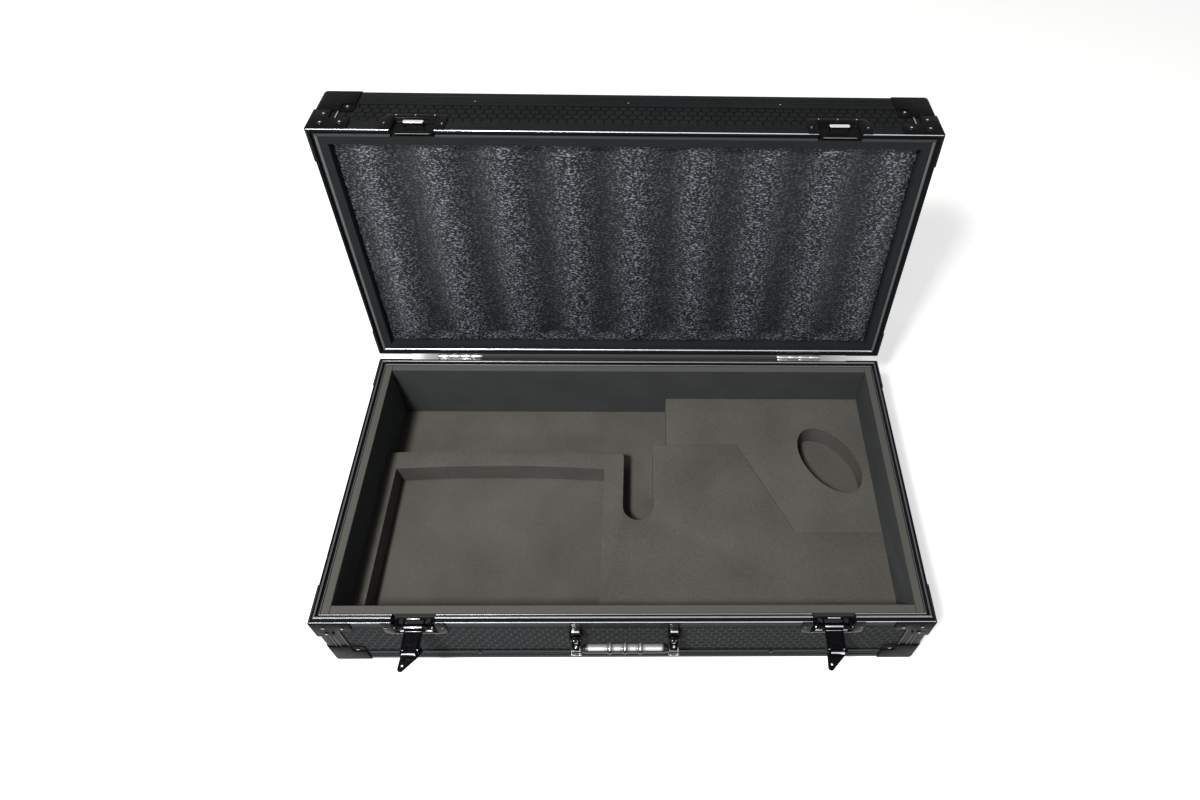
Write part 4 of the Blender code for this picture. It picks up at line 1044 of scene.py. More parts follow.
groove_start, groove_end = tongue[0] - 0.8 * mm, tongue[1] + 0.8 * mm
lid_section = rim_leg_face() + arc((corner_round, -corner_round), corner_round, 180, 90, 5)
lid_section += [(2.4 * mm, 0), (2.6 * mm, -0.7 * mm), (3.0 * mm, -0.7 * mm)]
lid_section += crown(3.0 * mm, groove_start, 0, 0.5 * mm)
lid_section += [(groove_start, -tongue[2] - seat_gap), (groove_end, -tongue[2] - seat_gap)]
lid_section += crown(groove_end, rim_width, 0, 1.2 * mm) + rim_inside()
print("rim sections of", len(tray_section), "and", len(lid_section), "points")


# %% [markdown]
# The rims' ridges get a painted highlight: the outer corner, the tongue and the inner lip are
# painted as nearly bare metal, brighter on some sides than on others. A number on each point
# tells the finish how bright it is.

# %% Painted highlights on the rims
def tray_rim_highlight(co):
    """How much painted highlight the tray's rim gets at a point, measured from the rim plane."""
    inward = min(face_x - abs(co.x), face_y - abs(co.y))
    on_end = face_x - abs(co.x) < face_y - abs(co.y)
    if inward < 0.6 * corner_round and co.z > -corner_round - weld:
        return 0.8 if co.y < 0 and not on_end else 0.2
    if co.z > tongue[2] - 0.5 * mm:
        return 0.1 if on_end else 0.32
    if inward > rim_width - 2 * mm and co.z > -0.4 * mm:
        return 0.1 if on_end else 0.32
    return 0


def lid_rim_highlight(co):
    """How much painted highlight the lid's rim gets at a point, measured from the rim plane."""
    inward = min(face_x - abs(co.x), face_y - abs(co.y))
    on_end = face_x - abs(co.x) < face_y - abs(co.y)
    if inward > groove_end - weld and co.z > -1.3 * mm:
        return 0.12 if on_end else (0.04 if co.y > 0 else 1.0)
    if inward < 0.6 * corner_round and co.z > -corner_round - weld:
        return 0.1 if on_end else (0.85 if co.y > 0 else 0.5)
    return 0


rim_highlight = {"tray": tray_rim_highlight, "lid": lid_rim_highlight}
print("ridges of", sorted(rim_highlight))


# %% Rims
def build_rim(half, section):
    """The mitred rim of one half, notched for the two latch dishes."""
    bars = mitred_frame(f"{half}_rim", section, face_x, face_y)
    front = bars[0] if fronts[half] < 0 else bars[1]
    for x in (-latch_x, latch_x):
        cut(front, block("notch", (x - notch_half, -face_y - 5 * mm, -rim_leg - 5 * mm),
                         (x + notch_half, -face_y + rim_width + 5 * mm, 10 * mm)) if fronts[half] < 0 else
            block("notch", (x - notch_half, face_y - rim_width - 5 * mm, -rim_leg - 5 * mm),
                  (x + notch_half, face_y + 5 * mm, 10 * mm)))
    rim = join(f"{half}_rim_bars", bars)
    mark(rim, "painted_highlight", rim_highlight[half])
    rim.location = (0, 0, heights[half])
    settle(rim)
    rim.matrix_world = places[half]
    settle(rim)
    shade(rim, 40)
    return hand_over(rim, f"{half}_rim_bars", half, anodised, [f"{half}_rim"])


for half, section in (("tray", tray_section), ("lid", lid_section)):
    rim = build_rim(half, section)
    print(rim.name, len(rim.data.polygons), "faces")

# %% [markdown]
# ## Corner caps
#
# Pressed steel caps cover the base corners like an eighth of a ball. A cap starts as a cube with
# its three far sides removed. The square of each face that is furthest from the folds is cut
# off as a tab, pushed back to the board, and its far corner is taken off. Then the folds are
# rounded and the sheet gets its thickness. A rivet sits in each tab.

# %% Corner caps
def face_out(piece, direction):
    """Make an open sheet's faces agree, its largest one looking in a direction."""
    pick_all(piece)
    bpy.ops.mesh.normals_make_consistent(inside=False)
    leave()
    if max(piece.data.polygons, key=lambda face: face.area).normal.dot(direction) < 0:
        pick_all(piece)
        bpy.ops.mesh.flip_normals()
        leave()


cap_size = 57 * mm
tab_start = 37.5 * mm
tab_press = 1.9 * mm
tab_corner = 9.5 * mm
cap_fold = 7.5 * mm
cap_sheet = 1.3 * mm
rivet_radius = 4.4 * mm
rivet_rise = 1.5 * mm


def rivet(name, centre, axis, sign, radius=rivet_radius, rise=rivet_rise):
    """A domed rivet head with a small flat and a dimple, standing off a face."""
    head = rod(name, (0, 0, rise / 2), radius, rise, "Z", 20, radius * 0.62)
    pick(head, "FACE", lambda middle, normal: normal.z > 0.9)
    bpy.ops.mesh.inset(thickness=radius * 0.22)
    bpy.ops.transform.translate(value=(0, 0, rise * 0.12))
    bpy.ops.mesh.inset(thickness=radius * 0.12)
    bpy.ops.transform.translate(value=(0, 0, -rise * 0.35))
    leave()
    round_edges(head, 0.25 * mm, angle=25)
    # Painted highlight: bright metal in the dimple of each rivet head.
    mark(head, "painted_highlight",
         lambda co: 0.7 if math.hypot(co.x, co.y) < radius * 0.32 and co.z > rise / 2 else 0)
    aim = {"X": Vector((1, 0, 0)), "Y": Vector((0, 1, 0)), "Z": Vector((0, 0, 1))}[axis] * sign
    head.matrix_world = Matrix.Translation(centre) @ aim.to_track_quat("Z", "Y").to_matrix().to_4x4()
    settle(head)
    return shade(head, 40)


def build_cap():
    """A cap at the corner (-X, -Y, -Z), its outer corner at the origin."""
    cap = block("cap", (0, 0, 0), (cap_size, cap_size, cap_size))
    pick(cap, "FACE", lambda middle, normal: max(middle) > cap_size - weld)
    bpy.ops.mesh.delete(type="FACE")
    for axis in ((1, 0, 0), (0, 1, 0), (0, 0, 1)):
        bpy.ops.mesh.select_all(action="SELECT")
        bpy.ops.mesh.bisect(plane_co=[tab_start * value for value in axis], plane_no=axis)
    for axis in range(3):
        push = [tab_press if i == axis else 0 for i in range(3)]
        pick(cap, "FACE", lambda middle, normal: abs(middle[axis]) < weld
             and sorted(middle)[1] > tab_start)
        bpy.ops.mesh.extrude_region_move(TRANSFORM_OT_translate={"value": push})
        pick(cap, "FACE", lambda middle, normal: max(middle) > cap_size - weld)
        bpy.ops.mesh.delete(type="FACE")
    pick(cap, "VERT", lambda co: sorted(co)[1] > cap_size - weld)
    bpy.ops.mesh.bevel(offset=tab_corner, segments=3, affect="VERTICES")
    pick(cap, "EDGE", lambda a, b: sum(max(abs(a[i]), abs(b[i])) < weld for i in range(3)) > 1)
    bpy.ops.mesh.bevel(offset=cap_fold, segments=6, affect="EDGES")
    face_out(cap, (-1, -1, -1))
    modify(cap, "SOLIDIFY", thickness=cap_sheet, offset=-1, use_even_offset=True)
    round_edges(cap, 0.35 * mm, angle=35)
    return shade(cap, 40)


cap = build_cap()
cap_rivets = []
tab_middle = (tab_start + cap_size) / 2 - 1.2 * mm
for axis, letter in enumerate("XYZ"):
    spot = [tab_press if i == axis else tab_middle for i in range(3)]
    cap_rivets.append(rivet("cap rivet", spot, letter, -1))
cap_rivet = join("cap rivets", cap_rivets)
print("cap", len(cap.data.polygons), "faces")

# %% [markdown]
# ## Corner braces
#
# A bent plate holds each corner under the rim. It is a sheet folded round the corner, with an
# arm along each side and a tongue down the post. The upper strip is kept whole and the rest is
# cut back to the tongue before the ends are rounded and the sheet is thickened.

# %% Corner braces
brace_reach = 58 * mm
brace_drop = 48.4 * mm
brace_arm = 27 * mm
brace_tongue = 27 * mm
brace_fold = 2.2 * mm
brace_top = 1.2 * mm
brace_rivets = ((19 * mm, 13.6 * mm), (46 * mm, 15.1 * mm), (18.5 * mm, 35.5 * mm))


def build_brace():
    """A brace at the corner (-X, -Y), measured down from the rim plane."""
    brace = block("brace", (0, 0, -brace_drop), (brace_reach, brace_reach, -brace_top))
    pick(brace, "FACE", lambda middle, normal: abs(normal.z) > 0.5
         or max(middle.x, middle.y) > brace_reach - weld)
    bpy.ops.mesh.delete(type="FACE")
    for point, normal in (((brace_tongue, 0, 0), (1, 0, 0)), ((0, brace_tongue, 0), (0, 1, 0)),
                          ((0, 0, -brace_arm), (0, 0, 1))):
        bpy.ops.mesh.select_all(action="SELECT")
        bpy.ops.mesh.bisect(plane_co=point, plane_no=normal)
    pick(brace, "FACE", lambda middle, normal: max(middle.x, middle.y) > brace_tongue
         and middle.z < -brace_arm)
    bpy.ops.mesh.delete(type="FACE")
    pick(brace, "VERT", lambda co: max(co.x, co.y) > brace_reach - weld and co.z < -brace_top - weld)
    bpy.ops.mesh.bevel(offset=6 * mm, segments=3, affect="VERTICES")
    pick(brace, "VERT", lambda co: abs(max(co.x, co.y) - brace_tongue) < weld
         and co.z < weld - brace_drop)
    bpy.ops.mesh.bevel(offset=4 * mm, segments=3, affect="VERTICES")
    pick(brace, "EDGE", lambda a, b: max(a.x, a.y, b.x, b.y) < weld)
    bpy.ops.mesh.bevel(offset=brace_fold, segments=4, affect="EDGES")
    face_out(brace, (-1, -1, 0))
    modify(brace, "SOLIDIFY", thickness=cap_sheet, offset=-1, use_even_offset=True)
    round_edges(brace, 0.3 * mm, angle=35)
    return shade(brace, 40)


brace = build_brace()
heads = []
for along, down in brace_rivets:
    heads.append(rivet("brace rivet", (0, along, -down), "X", -1))
    heads.append(rivet("brace rivet", (along, 0, -down), "Y", -1))
brace_rivet = join("brace rivets", heads)
print("brace", len(brace.data.polygons), "faces")

# %% [markdown]
# ## Caps, braces and rivets in place
#
# Every corner gets a copy, turned by quarters. The names of the lid's corners change front for
# back, because the lid lies on its back while it is built.

# %% Corners in place
small_rivet = 3.1 * mm
angle_rivets = [(x * mm, side) for side in (1, -1) for x in (0, -223.5, 223.5)]
quarters = (("left", -1, -1), ("right", 1, -1), ("right", 1, 1), ("left", -1, 1))


def build_half_corners(half):
    """All caps, braces and rivets of one half."""
    heads = []
    for quarter, (side, x_side, y_side) in enumerate(quarters):
        end = "front" if y_side == fronts[half] else "back"
        turn = Matrix.Rotation(quarter * math.pi / 2, 4, "Z")
        for piece, rivets_of, label, level in ((cap, cap_rivet, "cap", 0),
                                               (brace, brace_rivet, "brace", heights[half])):
            spot = Matrix.Translation((x_side * case_half_x, y_side * case_half_y, level))
            place = places[half] @ spot @ turn
            made = copy_piece(piece, label, place)
            hand_over(made, f"{half}_{label}_{end}_{side}", half, coated_steel,
                      [f"{half}_corner_{label}_{end}_{side}"])
            heads.append(copy_piece(rivets_of, "heads", place))
    screw_level = edge_face + 26.3 * mm
    for x, side in angle_rivets:
        spot = (x, side * (face_y - groove_floor), screw_level)
        head = rivet("angle rivet", spot, "Y", side, small_rivet)
        head.matrix_world = places[half]
        heads.append(settle(head))
    for side in (-1, 1):
        spot = (side * (face_x - groove_floor), 0, screw_level)
        head = rivet("angle rivet", spot, "X", side, small_rivet)
        head.matrix_world = places[half]
        heads.append(settle(head))
    made = join(f"{half}_rivets", heads)
    return hand_over(made, f"{half}_rivets", half, rivet_steel, ())


for half in places:
    made = build_half_corners(half)
    print(made.name, len(made.data.polygons), "faces")
for pattern in (cap, brace, cap_rivet, brace_rivet):
    bpy.data.objects.remove(pattern)

# %% [markdown]
# ## Hinges
#
# Two nickel hinges join the halves. A hinge leaf is a flat plate with round corners, and every
# second knuckle is rolled round the pin. One leaf is drawn as an outline, its knuckles are rods
# bored for the pin, and short webs carry them. The lid's leaf is the same one turned over.

# %% Hinge leaf
hinge_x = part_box("hinge_pin_right")[0].x / 2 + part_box("hinge_pin_right")[1].x / 2
hinge_half = 39 * mm
hinge_back = 4.6 * mm
leaf_top, leaf_low = -2.1 * mm, -31.1 * mm
leaf_round = 3.5 * mm
knuckle_radius = 4 * mm
knuckle_pitch = 19.5 * mm
knuckle_gap = 0.4 * mm
pin_radius = 2 * mm
pin_play = 0.3 * mm
leaf_rivets = [(x * mm, z * mm) for x in (-28.9, 28.9) for z in (-11.4, -23.9)]


def round_plate(name, half, low, high, radius, thickness, only_low=False):
    """A plate in X and Z with round corners, its back at y = 0 and its front at -thickness."""
    tops = [(half, high), (-half, high)]
    if not only_low:
        tops = arc((half - radius, high - radius), radius, 0, 90, 5)
        tops += arc((radius - half, high - radius), radius, 90, 180, 5)
    loop = tops + arc((radius - half, low + radius), radius, 180, 270, 5)
    loop += arc((half - radius, low + radius), radius, 270, 360, 5)
    plate = outline(name, [loop], thickness)
    plate.matrix_world = Matrix.Rotation(math.pi / 2, 4, "X")
    return settle(plate)


def bored_rod(name, low, high, radius, bore):
    """A tube along X between two stations, round the origin."""
    tube = rod(name, ((low + high) / 2, 0, 0), radius, high - low, "X", 28)
    cut(tube, rod("bore", ((low + high) / 2, 0, 0), bore, high - low + 4 * mm, "X", 20))
    return round_edges(tube, 0.3 * mm, angle=50)


def build_leaf():
    """A leaf seen from its pin: the plate, two knuckles with their webs, and four rivets."""
    plate = round_plate("leaf", hinge_half, leaf_low, leaf_top, leaf_round, sheet)
    plate.matrix_world = Matrix.Translation((0, -hinge_back, 0))
    settle(plate)
    shapes = [round_edges(plate, 0.3 * mm, angle=50)]
    for slot in (0, 2):
        low = -hinge_half + slot * knuckle_pitch + knuckle_gap / 2
        high = low + knuckle_pitch - knuckle_gap
        shapes.append(bored_rod("knuckle", low, high, knuckle_radius, pin_radius + pin_play))
        web = block("web", (low, -hinge_back - sheet / 2, -3.4 * mm), (high, -2.4 * mm, -1.7 * mm))
        shapes.append(round_edges(web, 0.25 * mm, angle=50))
    for x, z in leaf_rivets:
        shapes.append(rivet("leaf rivet", (x, -hinge_back, z), "Y", 1, 3.9 * mm, 1.1 * mm))
    return shade(join("leaf", shapes), 35)


leaf = build_leaf()
print("leaf", len(leaf.data.polygons), "faces")


# %% Hinges in place
def build_hinge_pin():
    """A pin with a domed head at each end."""
    shapes = [rod("pin", (0, 0, 0), pin_radius, 2 * hinge_half + 0.8 * mm, "X", 20)]
    for side in (-1, 1):
        shapes.append(rivet("head", (side * (hinge_half + seat_gap), 0, 0), "X", side, 3 * mm, 1.1 * mm))
    return shade(join("pin", shapes), 35)


hinge_pin = build_hinge_pin()
for name, x in (("left", -hinge_x), ("right", hinge_x)):
    on_pin = Matrix.Translation(hinge_axis + Vector((x, 0, 0)))
    made = copy_piece(leaf, "leaf", on_pin)
    hand_over(made, f"tray_hinge_{name}", "tray", hinge_metal, [f"tray_hinge_leaf_{name}"])
    made = copy_piece(leaf, "leaf", swing @ on_pin @ Matrix.Rotation(math.pi, 4, "Y"))
    hand_over(made, f"lid_hinge_{name}", "lid", hinge_metal, [f"lid_hinge_leaf_{name}"])
    made = copy_piece(hinge_pin, "pin", on_pin)
    hand_over(made, f"hinge_pin_{name}_dressed", "tray", hinge_metal, [f"hinge_pin_{name}"])
    print("hinge at", round(x, 4))
for pattern in (leaf, hinge_pin):
    bpy.data.objects.remove(pattern)

# %% [markdown]
# ## Latch dishes
#
# Each latch sits in a pressed dish: a flange on the wall's face, and a tub let into the wall that
# is open towards the rim. It is made like a real pressing. One flat face gets its outline, the
# tub's part of it is pushed in and drawn together a little, the folds are rounded, and only
# then does the sheet get its thickness.

# %% Dish
dish_half = 45.5 * mm
dish_drop = 38.5 * mm
dish_round = 11 * mm
tub_half = tub_width / 2
dish_front = -seat_gap - dish_sheet
tub_floor = 6.6 * mm
tub_fold = 2.6 * mm
tub_draft = 0.93
dish_rivets = [(-40.5 * mm, -14.0 * mm), (40.5 * mm, -14.0 * mm),
               (-27.5 * mm, -35.0 * mm), (0, -35.0 * mm), (27.5 * mm, -35.0 * mm)]


def build_dish():
    """A dish seen from the wall's face: x along the case, y inwards, z down from the rim."""
    dish = block("dish", (-dish_half, dish_front, -dish_drop), (dish_half, 0, 0))
    pick(dish, "FACE", lambda middle, normal: normal.y > -0.5)
    bpy.ops.mesh.delete(type="FACE")
    pick(dish, "VERT", lambda co: co.z < -dish_drop + weld)
    bpy.ops.mesh.bevel(offset=dish_round, segments=6, affect="VERTICES")
    for point, normal in (((-tub_half, 0, 0), (1, 0, 0)), ((tub_half, 0, 0), (1, 0, 0)),
                          ((0, 0, -tub_drop), (0, 0, 1))):
        bpy.ops.mesh.select_all(action="SELECT")
        bpy.ops.mesh.bisect(plane_co=point, plane_no=normal)
    pick(dish, "FACE", lambda middle, normal: abs(middle.x) < tub_half and middle.z > -tub_drop)
    bpy.ops.mesh.extrude_region_move(TRANSFORM_OT_translate={"value": (0, tub_floor - dish_front, 0)})
    bpy.ops.transform.resize(value=(tub_draft, 1, tub_draft), center_override=(0, 0, 0))
    pick(dish, "FACE", lambda middle, normal: middle.z > -weld)
    bpy.ops.mesh.delete(type="FACE")
    pick(dish, "EDGE", lambda a, b: max(abs(a.x), abs(b.x)) < tub_half + weld
         and min(a.z, b.z) > -tub_drop - weld and max(a.z, b.z) - min(a.z, b.z) + abs(a.y - b.y) > weld * 2
         and max(a.y, b.y) > dish_front + weld or max(abs(a.x), abs(b.x)) < tub_half + weld
         and min(a.z, b.z) > -tub_drop - weld and abs(a.y - b.y) < weld and min(a.z, b.z) < -weld)
    bpy.ops.mesh.bevel(offset=tub_fold, segments=4, affect="EDGES")
    face_out(dish, (0, -1, 0))
    modify(dish, "SOLIDIFY", thickness=dish_sheet, offset=-1, use_even_offset=True)
    round_edges(dish, 0.25 * mm, angle=50)
    mark(dish, "painted_highlight", fold_highlight)
    return shade(dish, 40)


def fold_highlight(co):
    """A painted highlight on the fold at the foot of the tub."""
    on_fold = all(0.1 * mm < reach < 1.5 * mm for reach in (co.z + tub_drop, co.y - dish_front))
    return 0.7 if on_fold and abs(co.x) < tub_half - 0.5 * mm else 0


def build_dish_rivets():
    """The five rivet heads on a dish's flange."""
    return join("heads", [rivet("head", (x, dish_front, z), "Y", -1, small_rivet, 1.2 * mm)
                          for x, z in dish_rivets])


dish = build_dish()
dish_heads = build_dish_rivets()
print("dish", len(dish.data.polygons), "faces")

# %% [markdown]
# ## Latch mounts and strikes
#
# In the tray's dish, two lugs and a pin carry the latch arm, and two cheeks with a back plate
# stand at its barrel. In the lid's dish the claw pulls on a strike: a bright face plate on two
# dark legs. The lugs, the cheeks and the face plate are outlines with round ends or corners, and
# the rest are small blocks and rods with broken edges.

# %% Lugs, pin and bracket
pivot = Vector(joints["latch_arm_right"]["pos_m"]) - Vector((latch_x, -face_y, tray_height))
lug_x = 24.5 * mm
lug_half = 1.5 * mm
lug_nose = 3.6 * mm
cheek_x = 14.4 * mm
cheek_half = 0.6 * mm
cheek_nose, cheek_top = 3.0 * mm, 5.2 * mm
collar_x, collar_radius, collar_length = 20.4 * mm, 3.0 * mm, 3.6 * mm


def ear(name, x, half, nose, back, high, low):
    """An upright ear along Y whose nose is round about the latch pivot."""
    loop = [(back, high), (pivot.y, high)] if high > nose else [(back, nose)]
    loop += arc((pivot.y, 0), nose, 90, 270, 8) + [(back, low)]
    piece = outline(name, [loop], 2 * half)
    turn = Matrix(((0, 0, 1, x - half), (1, 0, 0, 0), (0, 1, 0, pivot.z), (0, 0, 0, 1)))
    piece.matrix_world = turn
    settle(piece)
    return round_edges(piece, 0.3 * mm, angle=50)


def build_mount():
    """What carries the arm: two lugs and their pin, two cheeks with a back plate, two collars."""
    shapes = []
    root = tub_floor + dish_sheet / 2
    for side in (-1, 1):
        shapes.append(ear("lug", side * lug_x, lug_half, lug_nose, root, lug_nose, -lug_nose))
        shapes.append(ear("cheek", side * cheek_x, cheek_half, cheek_nose, root, cheek_top, -cheek_nose))
        collar = rod("collar", (side * collar_x, pivot.y, pivot.z), collar_radius, collar_length, "X", 24)
        shapes.append(round_edges(collar, 0.6 * mm, angle=50))
    shapes.append(rod("pin", (0, pivot.y, pivot.z), pin_radius, 2 * lug_x, "X", 20))
    back = block("back", (-cheek_x, tub_floor - 1.1 * mm, pivot.z + 4.0 * mm),
                 (cheek_x, tub_floor + 0.3 * mm, pivot.z + 5.2 * mm))
    shapes.append(round_edges(back, 0.3 * mm, angle=50))
    return shade(join("mount", shapes), 35)


def build_mount_pin():
    """What is bright: the pin's heads, and bright strips that are painted highlights: two guides along the
    tub's foot, and one along its upper edge.
    """
    shapes = []
    # A bright strip along the tub's upper edge, a painted highlight.
    edge = block("edge", (-9 * mm, tub_floor - 1.2 * mm, -1.5 * mm),
                 (9 * mm, tub_floor + 0.4 * mm, -0.5 * mm))
    shapes.append(round_edges(edge, 0.3 * mm, angle=50))
    for side in (-1, 1):
        spot = (side * (lug_x + lug_half), pivot.y, pivot.z)
        shapes.append(rivet("pin head", spot, "X", side, 2.2 * mm, 1.2 * mm))
        # Bright guides at the tub's foot, painted highlights of its fold.
        ends = sorted((side * 13 * mm, side * (lug_x - 1 * mm)))
        guide = block("guide", (ends[0], dish_front + 0.4 * mm, 1.2 * mm - tub_drop),
                      (ends[1], dish_front + 2.8 * mm, 2.8 * mm - tub_drop))
        shapes.append(round_edges(guide, 0.5 * mm, angle=50))
    return shade(join("mount pin", shapes), 35)


mount = build_mount()
mount_pin = build_mount_pin()
print("mount", len(mount.data.polygons), "faces")

# %% Strike
strike_half = 14.5 * mm
strike_top, strike_low = -20.0 * mm, -13.5 * mm
strike_out = -3.7 * mm


def build_strike():
    """The bright part of the strike: its face plate, and a strip along the tub's edge that is a painted
    highlight.
    """
    face = round_plate("strike", strike_half, strike_top, strike_low, 2.2 * mm, sheet)
    face.matrix_world = Matrix.Translation((0, strike_out + sheet, 0))
    # A painted highlight along the tub's edge.
    edge = block("edge", (-24 * mm, tub_floor - 0.3 * mm, -1.1 * mm),
                 (24 * mm, tub_floor + 0.5 * mm, -0.5 * mm))
    shapes = [round_edges(settle(face), 0.45 * mm, segments=3, angle=50),
              round_edges(edge, 0.2 * mm, angle=50)]
    return shade(join("strike", shapes), 40)


def build_strike_legs():
    """The strike's two legs, from its face back to the tub's floor."""
    shapes = []
    for side in (-1, 1):
        ends = sorted((side * (strike_half - 0.2 * mm), side * (strike_half - 0.2 * mm - sheet)))
        leg_piece = block("leg", (ends[0], strike_out + 0.4 * mm, strike_top + 2 * mm),
                          (ends[1], tub_floor + dish_sheet / 2, strike_low - 2 * mm))
        shapes.append(round_edges(leg_piece, 0.3 * mm, angle=50))
    return shade(join("strike legs", shapes), 40)


strike = build_strike()
strike_legs = build_strike_legs()
print("strike", len(strike.data.polygons), "faces")

# %% Dishes in place
for name, x in (("left", -latch_x), ("right", latch_x)):
    in_lid = Matrix.Translation((x, face_y, lid_height)) @ Matrix.Rotation(math.pi, 4, "Z")
    spots = {"tray": Matrix.Translation((x, -face_y, tray_height)), "lid": lid_place @ in_lid}
    for half, node in (("tray", "latch_dish"), ("lid", "keeper_dish")):
        made = copy_piece(dish, "dish", spots[half])
        hand_over(made, f"{half}_dish_{name}", half, dish_steel, [f"{node}_{name}"])
        made = copy_piece(dish_heads, "heads", spots[half])
        hand_over(made, f"{half}_dish_rivets_{name}", half, rivet_steel, ())
    made = copy_piece(mount, "mount", spots["tray"])
    hand_over(made, f"latch_mount_{name}", "tray", latch_steel, ())
    made = copy_piece(mount_pin, "pin", spots["tray"])
    hand_over(made, f"latch_mount_pin_{name}", "tray", bright_zinc, ())
    made = copy_piece(strike, "strike", spots["lid"])
    hand_over(made, f"keeper_strike_{name}", "lid", bright_zinc, ())
    made = copy_piece(strike_legs, "legs", spots["lid"])
    hand_over(made, f"keeper_strike_legs_{name}", "lid", latch_steel, ())
    print("dishes of the", name, "latch in place")
for pattern in (dish, dish_heads, mount, mount_pin, strike, strike_legs):
    bpy.data.objects.remove(pattern)

# %% [markdown]
# ## Latch arms
#
# The arm is a shallow channel of plated sheet whose end is rolled into a barrel round the pin.
# At rest it stands straight out from the case. The channel is an outline pulled to length, the
# barrel is a bored rod, and a round crease marks where the sheet rolls up.

# %% Arm
arm_half = 13.2 * mm
arm_low = -5 * mm
arm_plate = 1.5 * mm
arm_wall = 3.4 * mm
arm_length = 36.5 * mm
arm_heel = 1.5 * mm
barrel_half = 12.9 * mm
crease_y, crease_radius = -4.6 * mm, 1.3 * mm
key_reach = 26 * mm
spindle_radius = 5.5 * mm


def build_arm():
    """An arm seen from its pin, standing out along -Y."""
    wall = arm_half - arm_plate
    section = [(-arm_half, arm_low), (arm_half, arm_low), (arm_half, arm_low + arm_wall),
               (wall, arm_low + arm_wall), (wall, arm_low + arm_plate), (-wall, arm_low + arm_plate),
               (-wall, arm_low + arm_wall), (-arm_half, arm_low + arm_wall)]
    channel = outline("arm", [section], arm_length + arm_heel)
    channel.matrix_world = Matrix.Translation((0, arm_heel, 0)) @ Matrix.Rotation(math.pi / 2, 4, "X")
    settle(channel)
    pick(channel, "EDGE", lambda a, b: max(a.y, b.y) < weld - arm_length and abs(a.x - b.x) < weld
         and abs(a.x) > arm_half - weld)
    bpy.ops.mesh.bevel(offset=2.5 * mm, segments=4, affect="EDGES")
    leave()
    cut(channel, rod("hole", (0, -key_reach, arm_low), spindle_radius + pin_play, 8 * mm, "Z", 28))
    cut(channel, rod("room", (0, 0, 0), knuckle_radius - 0.2 * mm, 3 * barrel_half, "X", 24))
    shapes = [round_edges(channel, 0.3 * mm, angle=50)]
    shapes.append(bored_rod("barrel", -barrel_half, barrel_half, knuckle_radius, pin_radius + pin_play))
    crease_length = 2 * (wall + 0.3 * mm)
    crease = rod("crease", (0, crease_y, arm_low + arm_plate), crease_radius, crease_length, "X", 20)
    shapes.append(round_edges(crease, 0.3 * mm, angle=50))
    arm = join("arm", shapes)
    mark(arm, "painted_highlight", arm_highlight)
    return shade(arm, 35)


def arm_highlight(co):
    """A painted highlight along the top of the barrel and of the crease."""
    upward = Vector((0, -0.33, 0.94))
    crease = Vector((crease_y, arm_low + arm_plate))
    for centre, radius in ((Vector((0, 0)), knuckle_radius), (crease, crease_radius)):
        out = co.yz - centre
        if abs(out.length - radius) < 0.12 * mm and out.normalized().dot(upward.yz) > 0.985:
            return 0.7
    return 0


def build_arm_rivets():
    """Two small bright rivets at the arm's sides."""
    spots = [(side * 10.7 * mm, -31 * mm, arm_low + arm_plate) for side in (-1, 1)]
    return join("heads", [rivet("head", spot, "Z", 1, 1.3 * mm, 1.0 * mm) for spot in spots])


arm_pattern = build_arm()
arm_heads = build_arm_rivets()
print("arm", len(arm_pattern.data.polygons), "faces")

# %% [markdown]
# ## Butterfly keys
#
# The key hangs under the arm: a blade with a long wing, a short wing and a hole, a hub, and a
# spindle through the arm with a crank pin that moves the claw. Its outline is a string drawn
# round three circles, and the blade's edges are well rounded because fingers turn it.

# %% Key
key_circles = (((0, -29 * mm), 4.5 * mm), ((13.0 * mm, 0), 4.8 * mm),
               ((-1 * mm, 0), 11.5 * mm))
key_hole, key_hole_reach = 1.6 * mm, 25 * mm
key_low, key_thickness = -11.5 * mm, 2.5 * mm
crank_radius, crank_pin = 3 * mm, 2.2 * mm


def build_key():
    """A key seen from its spindle, its tip towards -Y."""
    spots = [Vector(spot) for centre, radius in key_circles
             for spot in arc(centre, radius, 0, 360, 32)[:-1]]
    loop = [spots[index] for index in geometry.convex_hull_2d(spots)]
    hole = arc((0, -key_hole_reach), key_hole, 0, 360, 16)[:-1]
    blade = outline("key", [loop, hole], key_thickness)
    blade.location = (0, 0, key_low)
    settle(blade)
    shapes = [round_edges(blade, 0.7 * mm, segments=3, angle=50)]
    top = arm_low + arm_plate
    for name, radius, low, high in (("hub", 7.5 * mm, key_low + 1.2 * mm, arm_low - pin_play),
                                    ("spindle", spindle_radius, arm_low - 1.2 * mm, top),
                                    ("crank", crank_pin, top - 0.7 * mm, top + 2.3 * mm)):
        centre = (0, -crank_radius if name == "crank" else 0, (low + high) / 2)
        shapes.append(round_edges(rod(name, centre, radius, high - low, "Z", 28), 0.3 * mm, angle=50))
    return shade(join("key", shapes), 35)


key_pattern = build_key()
print("key", len(key_pattern.data.polygons), "faces")

# %% [markdown]
# ## Claws
#
# A sliding plate lies in each arm's channel and ends in the turned-up lip that grips the strike.
# Only the lip is bright, because it rubs bare in use, so it is a piece of its own. The plate
# has a cross slot for the crank pin.

# %% Claw
claw_half = 9.5 * mm
claw_low = arm_low + arm_plate + seat_gap
claw_thickness = 2 * mm
claw_start, claw_reach, claw_end = -14 * mm, -36.6 * mm, -38.6 * mm
claw_lip = 6.2 * mm
crank_slot = (5.5 * mm, 3.3 * mm)
key_turn = 20


